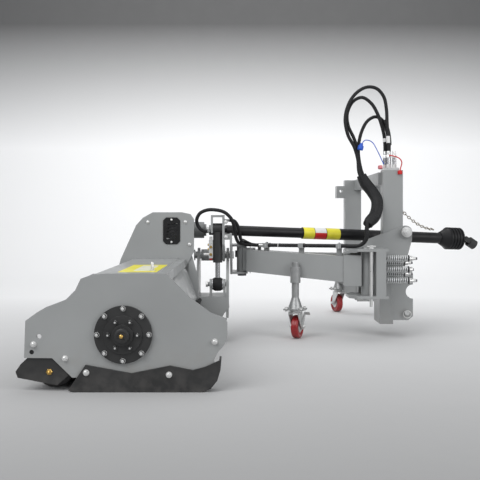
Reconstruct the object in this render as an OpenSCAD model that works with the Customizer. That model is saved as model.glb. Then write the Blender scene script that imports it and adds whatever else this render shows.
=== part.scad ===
/* [Deck] */
// Clear width between the two side plates
cut_w = 1071; // [900:1:1200]
// Thickness of the side plates
side_t = 8; // [6:1:10]
// Thickness of the bent shell sheet
shell_t = 5; // [4:1:6]
// Height of the shell's flat top
shell_h = 450; // [445:1:470]
// Thickness of the skid's side and sole
skid_t = 8; // [6:1:8]
// Width of a skid's sole under the deck
sole_w = 60; // [40:1:70]
// Width of the belt case beside the inner plate
case_w = 76; // [70:1:90]
// Wall of the belt case
case_wall = 4; // [3:1:6]

/* [Rotor] */
// Place of the rotor axis along the machine
rotor_x = -443; // [-446:1:-440]
// Height of the rotor axis
rotor_z = 219; // [215:1:225]
// Radius of the rotor tube
rotor_r = 57; // [50:1:60]
// Radius at which the flail pins sit
flail_pin_at = 100; // [98:1:102]
// Length of a flail from its pin to its tip
flail_len = 90; // [80:1:92]
// Thickness of a flail blade
flail_t = 8; // [6:1:10]
// Width of a flail blade along the rotor
flail_w = 34; // [28:1:38]
// Number of flail stations along each row
flail_n = 5; // [4:1:6]
// Radius of a flail pin
flail_pin_r = 8; // [7:1:9]
// Radius of the rotor's stub shafts
stub_r = 20; // [18:1:22]
// Radius of the bearing flange
flange_r = 110; // [108:1:112]
// Radius of the outer ring of flange bolts
flange_bolts_r = 99; // [97:1:100]
// Radius of the inner ring of flange bolts
cap_bolts_r = 56; // [54:1:58]
// Radius of the lower belt pulley
low_pulley_r = 70; // [60:1:75]
// Radius of the upper belt pulley
up_pulley_r = 78; // [70:1:80]

/* [Roller] */
// Place of the roller axis along the machine
roller_x = -726; // [-730:1:-722]
// Radius of the roller
roller_r = 75; // [70:1:78]
// Distance from each side plate to the roller's end
roller_inset = 72; // [60:1:90]
// Radius of the roller's stub axle
axle_r = 15; // [12:1:18]

/* [Tilt joint] */
// Height of the tilt shaft
tilt_z = 455; // [450:1:460]
// Distance of the tilt shaft beyond the inner side plate
tilt_off = 153; // [150:1:158]
// Radius of the tilt shaft
tilt_r = 20; // [18:1:22]
// Height of both cylinder pins above and below the tilt shaft
cyl_rise = 150; // [148:1:152]
// Distance of both cylinder pins outboard of the tilt shaft
cyl_out = 132; // [130:1:134]
// Radius of the tilt cylinder's barrel
barrel_r = 25; // [22:1:25]
// Radius of the tilt cylinder's rod
rod_r = 12.5; // [10:0.5:14]
// Radius of the cylinder's pins
cyl_pin_r = 12; // [10:1:13]
// Thickness of the carriage's upright plates
carriage_t = 12; // [10:1:12]

/* [Swing arm] */
// Distance between the two upright pivots of the arm
arm_len = 706; // [690:1:720]
// Angle of the arm to the machine, seen from above
arm_yaw = 16.5; // [15:0.5:18]
// Width of the arm
arm_w = 100; // [90:1:104]
// Radius of the front swing pin
swing_r = 20; // [18:1:22]
// Radius of the rear pivot pin
rear_r = 16; // [14:1:18]
// Wall of the sleeves round the upright pins
sleeve_wall = 12; // [10:1:14]

/* [Headstock] */
// Distance between the two lower link pins
link_span = 870; // [850:1:880]
// Radius of the lower link pins
link_pin_r = 14; // [11:0.1:14.3]
// Clear gap between the two plates at each lower link pin
link_gap = 73; // [68:1:78]
// Radius of the top link pin
top_pin_r = 12.7; // [9.5:0.1:12.7]
// Height of the top link pin over the lower link pins
mast_h = 603; // [590:1:610]
// Thickness of the link plates
link_t = 12; // [10:1:14]
// Width of the near leg across the machine
leg_d = 70; // [60:1:70]
// Height of the near leg
leg_h = 929; // [915:1:940]

/* [Breakaway] */
// Outer radius of a breakaway spring
spring_r = 19; // [17:0.5:20]
// Radius of the spring's wire
wire_r = 3; // [2.5:0.25:3.5]
// Number of curls of a breakaway spring
spring_curls = 11; // [8:1:11]

/* [Drive shaft] */
// Radius of the drive shaft's guard tube
guard_r = 33; // [30:1:35]
// Radius of the guard's front cone
cone_r = 68; // [60:1:70]
// Radius of the splined bore in the tractor yoke
spline_r = 17.5; // [17:0.1:18]

/* [Stands] */
// Radius of a support wheel
wheel_r = 64; // [60:1:66]
// Width of a support wheel
wheel_w = 40; // [34:1:44]
// Radius of a stand's post
post_r = 20; // [16:1:22]

/* [Hoses] */
// Radius of a hydraulic hose
hose_r = 9.5; // [7:0.5:10]

/* [Fits] */
// Radial clearance of a running pin or shaft
run = 0.05; // [0.02:0.01:0.09]
// Clearance between faces that move past each other
slip = 0.5; // [0.3:0.1:0.8]

/* [Hidden] */
$fn = 48;

inner_y = side_t + cut_w;
case_y = inner_y + side_t;
case_end = case_y + case_w;
tilt_y = case_y + tilt_off;
cyl_y = tilt_y - cyl_out;
cyl_x = -120.5;
cyl_top_z = tilt_z + cyl_rise;
cyl_low_z = tilt_z - cyl_rise;
barrel_len = 183;
rod_len = 181;
p1 = [688, 1130];
p2 = p1 + arm_len * [-cos(arm_yaw), sin(arm_yaw)];
shell_top = shell_h - shell_t;
upper_pulley_at = [rotor_x + 77, 594];
near_face = 1245;
link_y = near_face + link_t + link_gap / 2;
link_x = 930;
link_z = 134;
hitch_y = link_y + link_span / 2;
cross_at = [-110, tilt_y, upper_pulley_at[1]];
shaft_yaw = 16.5;
shaft_pitch = 2.3;
low_lug_z = 345;
top_lug_z = 500;
lug_t = 12;
link_off = [-20, 100];
link_rod_z = 452;
shift_z = 372;
shift_arm = p1 + rotate_xy([-228, 75], -arm_yaw);
shift_lug = p1 + 240 * [cos(73), sin(73)];
bolt_h = 9;

// A size list turned about the upright axis
function rotate_xy(v, a) = [v[0] * cos(a) - v[1] * sin(a), v[0] * sin(a) + v[1] * cos(a)];
// Points on an arc from angle a0 to a1
function arc(c, r, a0, a1, n) =
  [for (i = [0:n]) let (a = a0 + (a1 - a0) * i / n) c + r * [cos(a), sin(a)]];
function unit(v) = v / norm(v);
// Mitred offset of an open line, to the left of its travel
function side_dir(p, i) =
  let (a = i > 0 ? unit(p[i] - p[i - 1]) : unit(p[1] - p[0]),
       b = i < len(p) - 1 ? unit(p[i + 1] - p[i]) : a,
       m = unit(a + b))
  [-m[1], m[0]] / (m * a);
function beside(p, d) = [for (i = [0:len(p) - 1]) p[i] + d * side_dir(p, i)];
function reversed(p) = [for (i = [len(p) - 1:-1:0]) p[i]];
function band(p, t) = concat(p, reversed(beside(p, t)));

// Plates cut from an outline, thick along one axis
module plate_y(y, t, pts) {
  translate([0, y + t, 0]) rotate([90, 0, 0]) linear_extrude(t) polygon(pts);
}
module plate_x(x, t, pts) {
  translate([x, 0, 0]) rotate([90, 0, 90]) linear_extrude(t) polygon(pts);
}
module plate_z(z, t, pts) {
  translate([0, 0, z]) linear_extrude(t) polygon(pts);
}
// Round bars along one axis
module bar_x(y, z, x, l, r) {
  translate([x, y, z]) rotate([0, 90, 0]) cylinder(h = l, r = r);
}
module bar_y(x, z, y, l, r) {
  translate([x, y, z]) rotate([-90, 0, 0]) cylinder(h = l, r = r);
}
module bar_z(x, y, z, l, r) {
  translate([x, y, z]) cylinder(h = l, r = r);
}
// A box from one corner to the opposite one
module block(a, b) {
  translate(a) cube(b - a);
}
// A bar with round ends from a to b, each end in n steps
module slot2(a, b, r, n) {
  turn = atan2(b[1] - a[1], b[0] - a[0]);
  polygon(concat(arc(a, r, turn + 90, turn + 270, n), arc(b, r, turn - 90, turn + 90, n)));
}
module slot_y(y, t, a, b, r, n) {
  translate([0, y + t, 0]) rotate([90, 0, 0]) linear_extrude(t) slot2(a, b, r, n);
}
// Hexagon bolt head with its washer, standing out along -Y
module bolt_out(x, z, y, r) {
  bar_y(x, z, y - 2, 2, r * 1.2);
  translate([x, y - 2 - bolt_h, z]) rotate([-90, 0, 0]) cylinder(h = bolt_h, r = r, $fn = 6);
}
// One round bar from a to b
module rod3(a, b, r) {
  d = b - a;
  translate(a) rotate([0, acos(d[2] / norm(d)), atan2(d[1], d[0])]) cylinder(h = norm(d), r = r);
}
// A tube swept along a route, with a ring square to the way at each point
function cross3(a, b) = [a[1] * b[2] - a[2] * b[1], a[2] * b[0] - a[0] * b[2], a[0] * b[1] - a[1] * b[0]];
function way(p, i) =
  i == 0 ? unit(p[1] - p[0]) :
  i == len(p) - 1 ? unit(p[i] - p[i - 1]) : unit(unit(p[i + 1] - p[i]) + unit(p[i] - p[i - 1]));
// First side direction, then each next one kept square to the way
function side_list(p, i = 0, prev = [0, 1, 0], out = []) =
  i == len(p) ? out :
  let (w = way(p, i), s = unit(prev - (prev * w) * w))
  side_list(p, i + 1, s, concat(out, [s]));
module sweep_tube(p, r, n) {
  s = side_list(p);
  pts = [for (i = [0:len(p) - 1]) let (w = way(p, i), u = s[i], v = cross3(w, u))
         for (k = [0:n - 1]) p[i] + r * cos(360 * k / n) * u + r * sin(360 * k / n) * v];
  last = (len(p) - 1) * n;
  walls = [for (i = [0:len(p) - 2]) for (k = [0:n - 1])
           let (a = i * n + k, b = i * n + (k + 1) % n)
           for (f = [[a, a + n, b + n], [a, b + n, b]]) f];
  ends = concat([for (k = [1:n - 2]) [0, k, k + 1]], [for (k = [1:n - 2]) [last, last + k + 1, last + k]]);
  polyhedron(pts, concat(walls, ends));
}
// The machine stands over the middle of its own box
hub_out = 46;
nipple_len = 10;
yoke_at = 1575;
yoke_len = 76;
yoke_r = 30;
yoke_droop = 28;
tyre_round = 10;
trail = 36;
far_turn = 18;
far_at = [694, link_y + link_span + 80];
frame_rear = -856;
frame_front = cross_at[0] + cos(shaft_yaw) * (yoke_at * cos(shaft_pitch) + yoke_len * cos(shaft_pitch + yoke_droop))
  + yoke_r * sqrt(1 - pow(cos(shaft_pitch + yoke_droop) * cos(shaft_yaw), 2));
frame_near = -hub_out - nipple_len;
frame_far = far_at[1] + (trail + wheel_r - tyre_round) * cos(far_turn) + (wheel_w / 2 - tyre_round + 1) * sin(far_turn)
  + tyre_round;
module place() {
  translate([-(frame_rear + frame_front) / 2, -(frame_near + frame_far) / 2, 0]) children();
}

// Outlines, each point as [along, up] unless a line says otherwise
near_outline = [[-821, 129], [-816, 270], [-772, 302], [-738, 322], [-662, 351], [-627, 386], [-606, 430],
  [-563, shell_h - 4], [-511, shell_h], [-281, shell_h], [-188, 357], [-109, 299], [-57, 281], [-48, 264],
  [-48, 217], [-57, 183], [-86, 148], [-98, 124], [-98, 60], [-638, 54], [-714, 128]];
inner_outline = [[-821, 129], [-816, 270], [-772, 302], [-738, 322], [-662, 351], [-638, 441], [-556, 622],
  [-520, 662], [-466, 692], [-311, 692], [-265, 682], [-246, 656], [-246, 480], [-313, 361], [-262, 238],
  [-61, 238], [-57, 183], [-86, 148], [-98, 124], [-98, 60], [-638, 54], [-714, 128]];
shell_line = [[-229, 232], [-282, 372], [-330, shell_top], [-560, shell_top], [-600, 425], [-640, 345],
  [-646, 290], [-646, 200]];
sole_line = [[-652, 8], [-627, 0], [-140, 0], [-110, 14], [-86, 44], [-74, 84], [-71, 124]];
skid_top = [[-133, 96], [-179, 84], [-266, 101], [-412, 72], [-586, 104]];
bracket_outline = [[-836, 104], [-856, 75], [-848, 52], [-697, 23], [-655, 60], [-659, 72], [-691, 107],
  [-714, 128], [-655, 150], [-655, 200], [-810, 200], [-810, 128]];
flap_at = [-214, 224];
flap_len = 150;
flap_t = 6;
flap_rod_r = 8;
knuckle_r = 14;
skid_bolts = [[-583, 75], [-269, 67]];
bracket_bolts = [[-785, 181], [-665, 128]];
flange_t = 12;
plate_bore_r = 45;
roller_at = [roller_x, roller_r];
boss_r = 32;
tube_y0 = side_t + 24;
tube_y1 = inner_y - 24;
flail_pitch = (tube_y1 - tube_y0 - 100) / flail_n;
lug_half = 5;
shelf_z = 218;
shelf_t = 22;
lug_x = [-235, -75];
lug_plate_t = 14;
lug_r = 40;
ear_half = 30.5;
ear_t = 12;
pulley_y = case_y + 12;
pulley_w = 44;
case_r = 92;
gearbox_len = 144;
gearbox_half = 75;
nose_r = 45;
shaft_r = 17.4;
input_end = -150;

module both_sides() {
  children();
  translate([0, case_y, 0]) mirror([0, 1, 0]) children();
}

// Two side plates with the bent shell sheet between them
module deck_shell() color([0.56, 0.58, 0.59]) difference() {
  union() {
    plate_y(0, side_t, near_outline);
    plate_y(inner_y, side_t, inner_outline);
    plate_y(side_t, cut_w, band(shell_line, shell_t));
    block([-800, side_t, 236], [-760, inner_y, 262]);
    block([-330, side_t, shell_top - shell_t - 40], [-290, inner_y, shell_top - shell_t]);
  }
  bar_y(rotor_x, rotor_z, -1, case_y + 2, plate_bore_r);
  bar_y(upper_pulley_at[0], upper_pulley_at[1], inner_y - 1, side_t + 2, plate_bore_r);
  for (h = [[-764, 211], [-792, 151]]) bar_y(h[0], h[1], -1, side_t + 2, 9);
}

// Flanges that carry the rotor's stub shafts, with their bolts
module bearing_flange() {
  difference() {
    union() {
      bar_y(rotor_x, rotor_z, -flange_t, flange_t, flange_r);
      bar_y(rotor_x, rotor_z, -flange_t - 6, 6, flange_bolts_r - 26);
      bar_y(rotor_x, rotor_z, -flange_t - 18, 12, cap_bolts_r - 16);
      bar_y(rotor_x, rotor_z, -hub_out, hub_out - flange_t - 18, 27);
    }
    bar_y(rotor_x, rotor_z, -hub_out + 10, hub_out, stub_r + run);
  }
  for (k = [0:7])
    bolt_out(rotor_x + flange_bolts_r * cos(45 * k), rotor_z + flange_bolts_r * sin(45 * k),
      -flange_t, 9);
  for (k = [0:5])
    bolt_out(rotor_x + cap_bolts_r * cos(60 * k), rotor_z + cap_bolts_r * sin(60 * k), -flange_t - 6, 8);
}
module rotor_bearings() color([0.1, 0.1, 0.1]) {
  bearing_flange();
  bar_y(rotor_x, rotor_z, -hub_out - nipple_len, nipple_len, 5);
  difference() {
    bar_y(rotor_x, rotor_z, inner_y - flange_t, flange_t, flange_r);
    bar_y(rotor_x, rotor_z, inner_y - flange_t - 1, flange_t + 2, stub_r + run);
  }
}

// Skids that carry the deck over the ground
module skids() color([0.07, 0.07, 0.07]) both_sides() {
  plate_y(-skid_t, skid_t, concat(sole_line, skid_top));
  plate_y(0, sole_w, band(sole_line, skid_t));
  for (b = skid_bolts) bolt_out(b[0], b[1], -skid_t, 8);
}

// Plates and housings at the two ends of the rear roller
module roller_brackets() color([0.08, 0.08, 0.08]) both_sides() {
  difference() {
    union() {
      plate_y(side_t, 10, bracket_outline);
      bar_y(roller_at[0], roller_at[1], side_t + 10, roller_inset - 12, boss_r);
    }
    bar_y(roller_at[0], roller_at[1], side_t + 4, roller_inset + 10, axle_r + run);
  }
  for (b = bracket_bolts) bolt_out(b[0], b[1], 0, 8);
}

// Rear roller with its stub axles
module roller() color([0.1, 0.1, 0.11]) {
  bar_y(roller_at[0], roller_at[1], side_t + roller_inset, cut_w - 2 * roller_inset, roller_r);
  bar_y(roller_at[0], roller_at[1], side_t + 5, cut_w - 10, axle_r);
}

// Rotor tube with stub shafts and one lug for each pair of flails
function station(row, i) = tube_y0 + 50 + flail_pitch * (i + (row % 2 == 0 ? 0.25 : 0.75));
module at_row(row) {
  a = 45 + 90 * row;
  translate([rotor_x + flail_pin_at * cos(a), 0, rotor_z + flail_pin_at * sin(a)]) children();
}
module rotor() color([0.25, 0.25, 0.26]) difference() {
  union() {
    bar_y(rotor_x, rotor_z, tube_y0, tube_y1 - tube_y0, rotor_r);
    bar_y(rotor_x, rotor_z, -hub_out + 12, pulley_y + pulley_w + hub_out - 8, stub_r);
    for (row = [0:3]) for (i = [0:flail_n - 1])
      translate([rotor_x, station(row, i) - lug_half, rotor_z]) rotate([0, -45 - 90 * row, 0])
        translate([rotor_r - 3, 0, -14]) cube([flail_pin_at - rotor_r + 16, 2 * lug_half, 28]);
  }
  for (row = [0:3]) for (i = [0:flail_n - 1])
    at_row(row) bar_y(0, 0, station(row, i) - lug_half - 1, 2 * lug_half + 2, flail_pin_r + run);
}
module flail_pins() color([0.45, 0.45, 0.47]) for (row = [0:3]) for (i = [0:flail_n - 1]) at_row(row) {
  reach = lug_half + slip + flail_w + slip;
  bar_y(0, 0, station(row, i) - reach, 2 * reach, flail_pin_r);
  bar_y(0, 0, station(row, i) - reach - 5, 5, flail_pin_r + 4);
  bar_y(0, 0, station(row, i) + reach, 5, flail_pin_r + 4);
}
// One row of flails: a pair of blades at each station, hanging from one pin
module flail_row(row) color([0.33, 0.34, 0.35]) for (i = [0:flail_n - 1]) for (side = [-1, 1])
  at_row(row) translate([0, station(row, i) + side * (lug_half + slip + flail_w / 2), 0]) difference() {
    union() {
      bar_y(0, 0, -flail_w / 2, flail_w, knuckle_r);
      block([-flail_t / 2, -flail_w / 2, -flail_len], [flail_t / 2, flail_w / 2, 0]);
    }
    bar_y(0, 0, -flail_w, 2 * flail_w, flail_pin_r + run);
  }

// Rubber flaps at the mouth, hung on one rod
module front_flaps() color([0.06, 0.06, 0.06]) for (i = [0:3]) {
  w = (cut_w - 8) / 4;
  y = side_t + 4 + i * w;
  difference() {
    union() {
      bar_y(flap_at[0], flap_at[1], y + 1, w - 2, knuckle_r);
      block([flap_at[0] - flap_t / 2, y + 1, flap_at[1] - flap_len],
        [flap_at[0] + flap_t / 2, y + w - 1, flap_at[1]]);
    }
    bar_y(flap_at[0], flap_at[1], y, w, flap_rod_r + run);
  }
}
module flap_rod() color([0.6, 0.6, 0.6]) bar_y(flap_at[0], flap_at[1], side_t, cut_w, flap_rod_r);
rear_flap_x = -646;
rear_flap_z = [112, 255];
module rear_flap() color([0.06, 0.06, 0.06])
  block([rear_flap_x - flap_t, side_t + 12, rear_flap_z[0]], [rear_flap_x, inner_y - 12, rear_flap_z[1]]);

// Closed case over the belt drive, on the outer face of the inner plate
module belt_case() color([0.5, 0.52, 0.53]) difference() {
  union() {
    slot_y(case_y, case_w, [rotor_x, rotor_z], upper_pulley_at, case_r, 24);
    block([-540, case_end - 8, 300], [-281, case_end, 420]);
  }
  slot_y(case_y - 1, case_w - 9, [rotor_x, rotor_z], upper_pulley_at, case_r - case_wall, 24);
  bar_y(upper_pulley_at[0], upper_pulley_at[1], case_y, case_w + 1, 24);
}
// Slotted panel on the inner plate, seen over the deck
module vent_panel() color([0.05, 0.05, 0.06]) {
  x = [-411, -320];
  z = [521, 664];
  cut = 16;
  difference() {
    plate_y(inner_y - 4, 4, [[x[0] + cut, z[0]], [x[1] - cut, z[0]], [x[1], z[0] + cut], [x[1], z[1] - cut],
      [x[1] - cut, z[1]], [x[0] + cut, z[1]], [x[0], z[1] - cut], [x[0], z[0] + cut]]);
    for (i = [0:4]) slot_y(inner_y - 6, 8, [-390 + i * 2, 552 + i * 18], [-346 + i * 2, 558 + i * 18], 4, 6);
  }
  for (rivet_z = [z[0] + 12, z[1] - 12]) bar_y((x[0] + x[1]) / 2, rivet_z, inner_y - 7, 3, 5);
}
// Belt drive
module pulley(at, r) {
  translate([at[0], pulley_y, at[1]]) rotate([-90, 0, 0]) rotate_extrude()
    polygon([[stub_r + run, 0], [r + 9, 0], [r + 9, 4], [r, 6], [r, pulley_w - 6], [r + 9, pulley_w - 4],
      [r + 9, pulley_w], [stub_r + run, pulley_w]]);
}
module lower_pulley() color([0.3, 0.3, 0.32]) pulley([rotor_x, rotor_z], low_pulley_r);
module upper_pulley() color([0.3, 0.3, 0.32]) {
  pulley(upper_pulley_at, up_pulley_r);
  bar_y(upper_pulley_at[0], upper_pulley_at[1], pulley_y - 4, case_end + gearbox_len - 40 - pulley_y, stub_r);
}
belt_way = upper_pulley_at - [rotor_x, rotor_z];
belt_lift = atan2(belt_way[1], belt_way[0]);
belt_lean = asin((up_pulley_r - low_pulley_r) / norm(belt_way));
function belt_loop(add) = concat(
  arc([rotor_x, rotor_z], low_pulley_r + add, belt_lift + 90 + belt_lean, belt_lift + 270 - belt_lean, 20),
  arc(upper_pulley_at, up_pulley_r + add, belt_lift - 90 - belt_lean, belt_lift + 90 + belt_lean, 20));
module drive_belt() color([0.05, 0.05, 0.05]) difference() {
  plate_y(pulley_y + 8, pulley_w - 16, belt_loop(8.5));
  plate_y(pulley_y + 7, pulley_w - 14, belt_loop(0.9));
}
// Bevel gearbox behind the belt case
module gearbox() color([0.45, 0.46, 0.47]) difference() {
  union() {
    block([-451, case_end, upper_pulley_at[1] - gearbox_half],
      [-281, case_end + gearbox_len, upper_pulley_at[1] + gearbox_half]);
    bar_x(tilt_y, upper_pulley_at[1], -281, 81, nose_r);
    bar_x(tilt_y, upper_pulley_at[1], -200, 12, nose_r - 12);
  }
  bar_y(upper_pulley_at[0], upper_pulley_at[1], case_end - 1, gearbox_len - 30, stub_r + run);
  bar_x(tilt_y, upper_pulley_at[1], -290, 120, shaft_r + run);
}
module input_shaft() color([0.6, 0.6, 0.62])
  bar_x(tilt_y, upper_pulley_at[1], -288, input_end + 288, shaft_r);

// Shelf, lugs, gussets and ears that carry the deck on its tilt shaft
function lug_outline() = [[case_y, 126], [case_y, 330], [tilt_y - 34, tilt_z + 22], [tilt_y + 38, tilt_z - 12],
  [case_y + 190, shelf_z], [case_y + 110, 126]];
module deck_mount() color([0.53, 0.55, 0.56]) {
  difference() {
    union() {
      block([-270, case_y, shelf_z], [-61, case_y + 203, shelf_z + shelf_t]);
      for (x = lug_x) {
        plate_x(x, lug_plate_t, lug_outline());
        bar_x(tilt_y, tilt_z, x, lug_plate_t, lug_r);
      }
      for (s = [-1, 1]) {
        x = cyl_x + s * (ear_half + ear_t / 2) - ear_t / 2;
        block([x, case_y, shelf_z + shelf_t], [x + ear_t, cyl_y + 34, cyl_low_z]);
        bar_x(cyl_y, cyl_low_z, x, ear_t, 28);
      }
      plate_y(case_y, 10, [[-276, 240], [-276, 477], [-262, 477], [-223, 337], [-221, 240]]);
    }
    bar_x(tilt_y, tilt_z, -300, 300, tilt_r + run);
    bar_x(cyl_y, cyl_low_z, -200, 160, cyl_pin_r + run);
  }
  bar_x(cyl_y, cyl_low_z, cyl_x - ear_half - ear_t - 10, 2 * (ear_half + ear_t) + 14, cyl_pin_r);
}
module tilt_shaft() color([0.68, 0.68, 0.7]) {
  bar_x(tilt_y, tilt_z, lug_x[0] - 14, 14 - lug_x[0] - 34, tilt_r);
  bar_x(tilt_y, tilt_z, lug_x[0] - 20, 6, tilt_r + 10);
}

// Tilt cylinder between the carriage and the deck
eye_half = 25;
low_eye_r = 30;
module tilt_barrel() color([0.5, 0.52, 0.53]) difference() {
  union() {
    bar_x(cyl_y, cyl_top_z, cyl_x - eye_half, 2 * eye_half, 28);
    bar_z(cyl_x, cyl_y, cyl_top_z - barrel_len, barrel_len - 20, barrel_r);
  }
  bar_x(cyl_y, cyl_top_z, cyl_x - 40, 80, cyl_pin_r + run);
  bar_z(cyl_x, cyl_y, cyl_top_z - barrel_len - 1, barrel_len - 37, rod_r + run);
}
module tilt_rod() color([0.8, 0.8, 0.82]) difference() {
  union() {
    bar_x(cyl_y, cyl_low_z, cyl_x - ear_half + slip, 2 * (ear_half - slip), low_eye_r);
    bar_z(cyl_x, cyl_y, cyl_low_z, rod_len, rod_r);
  }
  bar_x(cyl_y, cyl_low_z, cyl_x - 60, 120, cyl_pin_r + run);
}
// Valve block beside the barrel, with its fittings
module valve_block() color([0.78, 0.78, 0.76]) {
  block([cyl_x - barrel_r - 22, cyl_y - 14, cyl_top_z - 160], [cyl_x - barrel_r, cyl_y + 14, cyl_top_z - 62]);
  bar_z(cyl_x - barrel_r - 11, cyl_y, cyl_top_z - 62, 18, 8);
  bar_x(cyl_y, cyl_top_z - 140, cyl_x - barrel_r - 50, 28, 7);
}

// Carriage plates, given as [across, up], with the lugs of the rear pivot
plate_a_x = -95;
plate_b_x = -55;
plate_a = [[cyl_y - 30, 520], [cyl_y - 30, 662], [cyl_y - 15, 677], [cyl_y + 15, 677], [cyl_y + 30, 662],
  [cyl_y + 30, 565], [cyl_y + 72, 505], [tilt_y + 50, 500], [tilt_y + 50, 424], [cyl_y + 50, 424]];
plate_b = [[cyl_y - 30, 520], [cyl_y - 30, 580], [cyl_y + 30, 580], [cyl_y + 60, top_lug_z + lug_t],
  [p2[1] + link_off[1] + 30, top_lug_z + lug_t], [p2[1] + link_off[1] + 30, low_lug_z], [p2[1] - 60, low_lug_z],
  [cyl_y + 50, 424]];
front_x = plate_b_x + carriage_t;
fitting_end = -175.5;
// Cheek over the top eye of the tilt cylinder
cheek_x = cyl_x - eye_half - slip;
cheek_t = 10;
cheek_w = 52;
cheek_z = [580, 677];
lug_plan = concat([[front_x, p2[1] + link_off[1] + 30], [front_x, p2[1] - 50]],
  arc(p2, 34, -70, 60, 6), arc(p2 + link_off, 24, 10, 80, 4));
module carriage() color([0.52, 0.54, 0.55]) {
  difference() {
    union() {
      plate_x(plate_a_x, carriage_t, plate_a);
      plate_x(plate_b_x, carriage_t, plate_b);
      block([plate_a_x + carriage_t, cyl_y - 28, 545], [plate_b_x, cyl_y + 28, 576]);
      bar_x(tilt_y, tilt_z, -215, 120, tilt_r + 12);
      block([cheek_x - cheek_t, cyl_y - cheek_w / 2, cheek_z[0]], [cheek_x, cyl_y + cheek_w / 2, cheek_z[1]]);
      block([cheek_x - cheek_t, cyl_y - cheek_w / 2, cheek_z[1] - carriage_t], [plate_a_x, cyl_y + cheek_w / 2, cheek_z[1]]);
      for (z = [low_lug_z, top_lug_z]) plate_z(z, lug_t, lug_plan);
    }
    bar_x(tilt_y, tilt_z, -300, 300, tilt_r + run);
    bar_x(cyl_y, cyl_top_z, -200, 130, cyl_pin_r + run);
    bar_z(p2[0], p2[1], low_lug_z - 1, 200, rear_r + run);
    bar_z(p2[0] + link_off[0], p2[1] + link_off[1], low_lug_z - 1, 200, 10 + run);
  }
  bar_x(cyl_y, cyl_top_z, cyl_x - eye_half - 20, 2 * eye_half + 32, cyl_pin_r);
  bar_x(cyl_y, cyl_top_z, cyl_x - eye_half - slip - 18, 8, cyl_pin_r + 6);
  bar_z(p2[0] + link_off[0], p2[1] + link_off[1], low_lug_z - 6, top_lug_z - low_lug_z + lug_t + 12, 10);
  bar_x(cyl_y, cyl_top_z - 15, fitting_end, cyl_x - eye_half - slip - 18 - fitting_end, 7);
  bar_x(cyl_y, 648, plate_a_x + carriage_t, -56.5 - plate_a_x - carriage_t, 7);
}

// Arm, drawn about its front pivot and turned into place
module along_arm() {
  translate([p1[0], p1[1], 0]) rotate([0, 0, -arm_yaw]) children();
}
arm_low = 307;
arm_top = 450;
arm_low_rise = 53;
arm_top_rise = 33;
sleeve_z = [295, 460];
top_plate_z = 482;
low_plate_z = 246;
plate_t = 14;
module swing_arm() color([0.54, 0.56, 0.57]) along_arm() {
 bar_z(shift_local[0], shift_local[1], shift_z - 48, 96, 10);
 difference() {
  union() {
    plate_y(-arm_w / 2, arm_w, [[-40, arm_low], [-40, arm_top], [40 - arm_len, arm_top + arm_top_rise],
      [40 - arm_len, arm_low + arm_low_rise]]);
    block([-118, -arm_w / 2 - 5, sleeve_z[0]], [-24, arm_w / 2 + 5, sleeve_z[1]]);
    bar_z(0, 0, low_plate_z + slip, top_plate_z - low_plate_z - 2 * slip, swing_r + sleeve_wall);
    translate([-arm_len, 0, 0]) {
      bar_z(0, 0, low_lug_z + lug_t + slip, top_lug_z - low_lug_z - lug_t - 2 * slip, rear_r + sleeve_wall);
      block([16, -36, low_lug_z + lug_t + 8], [70, 36, top_lug_z - 8]);
    }
    translate([shift_local[0], shift_local[1] - 30, shift_z]) {
      block([-22, -18, -42], [22, 48, -30]);
      block([-22, -18, 30], [22, 48, 42]);
    }
  }
  plate_y(-arm_w / 2 + 8, arm_w - 16, [[-126, arm_low + 16], [-126, arm_top - 8],
    [80 - arm_len, arm_top + arm_top_rise - 12], [80 - arm_len, arm_low + arm_low_rise + 8]]);
  bar_z(0, 0, 0, 600, swing_r + run);
  bar_z(-arm_len, 0, 0, 600, rear_r + run);
  translate([shift_local[0], shift_local[1], 0]) bar_z(0, 0, 0, 600, 10 + run);
 }
}
shift_local = [-228, 75];
module rear_pivot_pin() color([0.15, 0.15, 0.16]) {
  bar_z(p2[0], p2[1], low_lug_z - 12, top_lug_z + lug_t + 12 - low_lug_z, rear_r);
  bar_z(p2[0], p2[1], top_lug_z + lug_t, 10, rear_r + 9);
  bar_z(p2[0], p2[1], low_lug_z - 12, 12, rear_r + 9);
}

// Three hoses clipped along the top of the arm, bent up over its front pivot
hose_z = top_plate_z + plate_t + 12;
hose_bend = 60;
hose_end = arm_len - 106;
last_clip = hose_end - 40;
hose_gap = 22;
module arm_hoses() color([0.06, 0.06, 0.06]) along_arm() for (i = [0:2]) {
  y = (i - 1) * hose_gap;
  bar_x(y, hose_z, -hose_end, hose_end - hose_bend, hose_r);
  translate([-hose_bend, y, hose_z + hose_bend]) rotate([90, 0, 0]) rotate_extrude(angle = -90)
    translate([hose_bend, 0]) circle(hose_r);
  bar_z(0, y, hose_z + hose_bend, 12, hose_r);
}
// Clips that hold the hoses to the arm
module hose_clamps() color([0.2, 0.2, 0.2]) along_arm() for (u = [150, 360, last_clip]) {
  top = arm_top + arm_top_rise * (u - 40) / (arm_len - 80);
  difference() {
    block([-u - 14, -hose_gap - 14, hose_z - 13], [-u + 14, hose_gap + 14, hose_z + 12]);
    for (i = [-1:1]) bar_x(i * hose_gap, hose_z, -u - 20, 40, hose_r + run);
  }
  plate_y(-8, 16, [[-u - 14, top + arm_top_rise * 14 / (arm_len - 80)], [-u - 14, hose_z - 13], [-u + 14, hose_z - 13],
    [-u + 14, top - arm_top_rise * 14 / (arm_len - 80)]]);
  if (u == last_clip) block([-hose_end - 16, hose_gap - 9, top + 3], [-hose_end, hose_gap + 9, hose_z + 9]);
}

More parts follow.
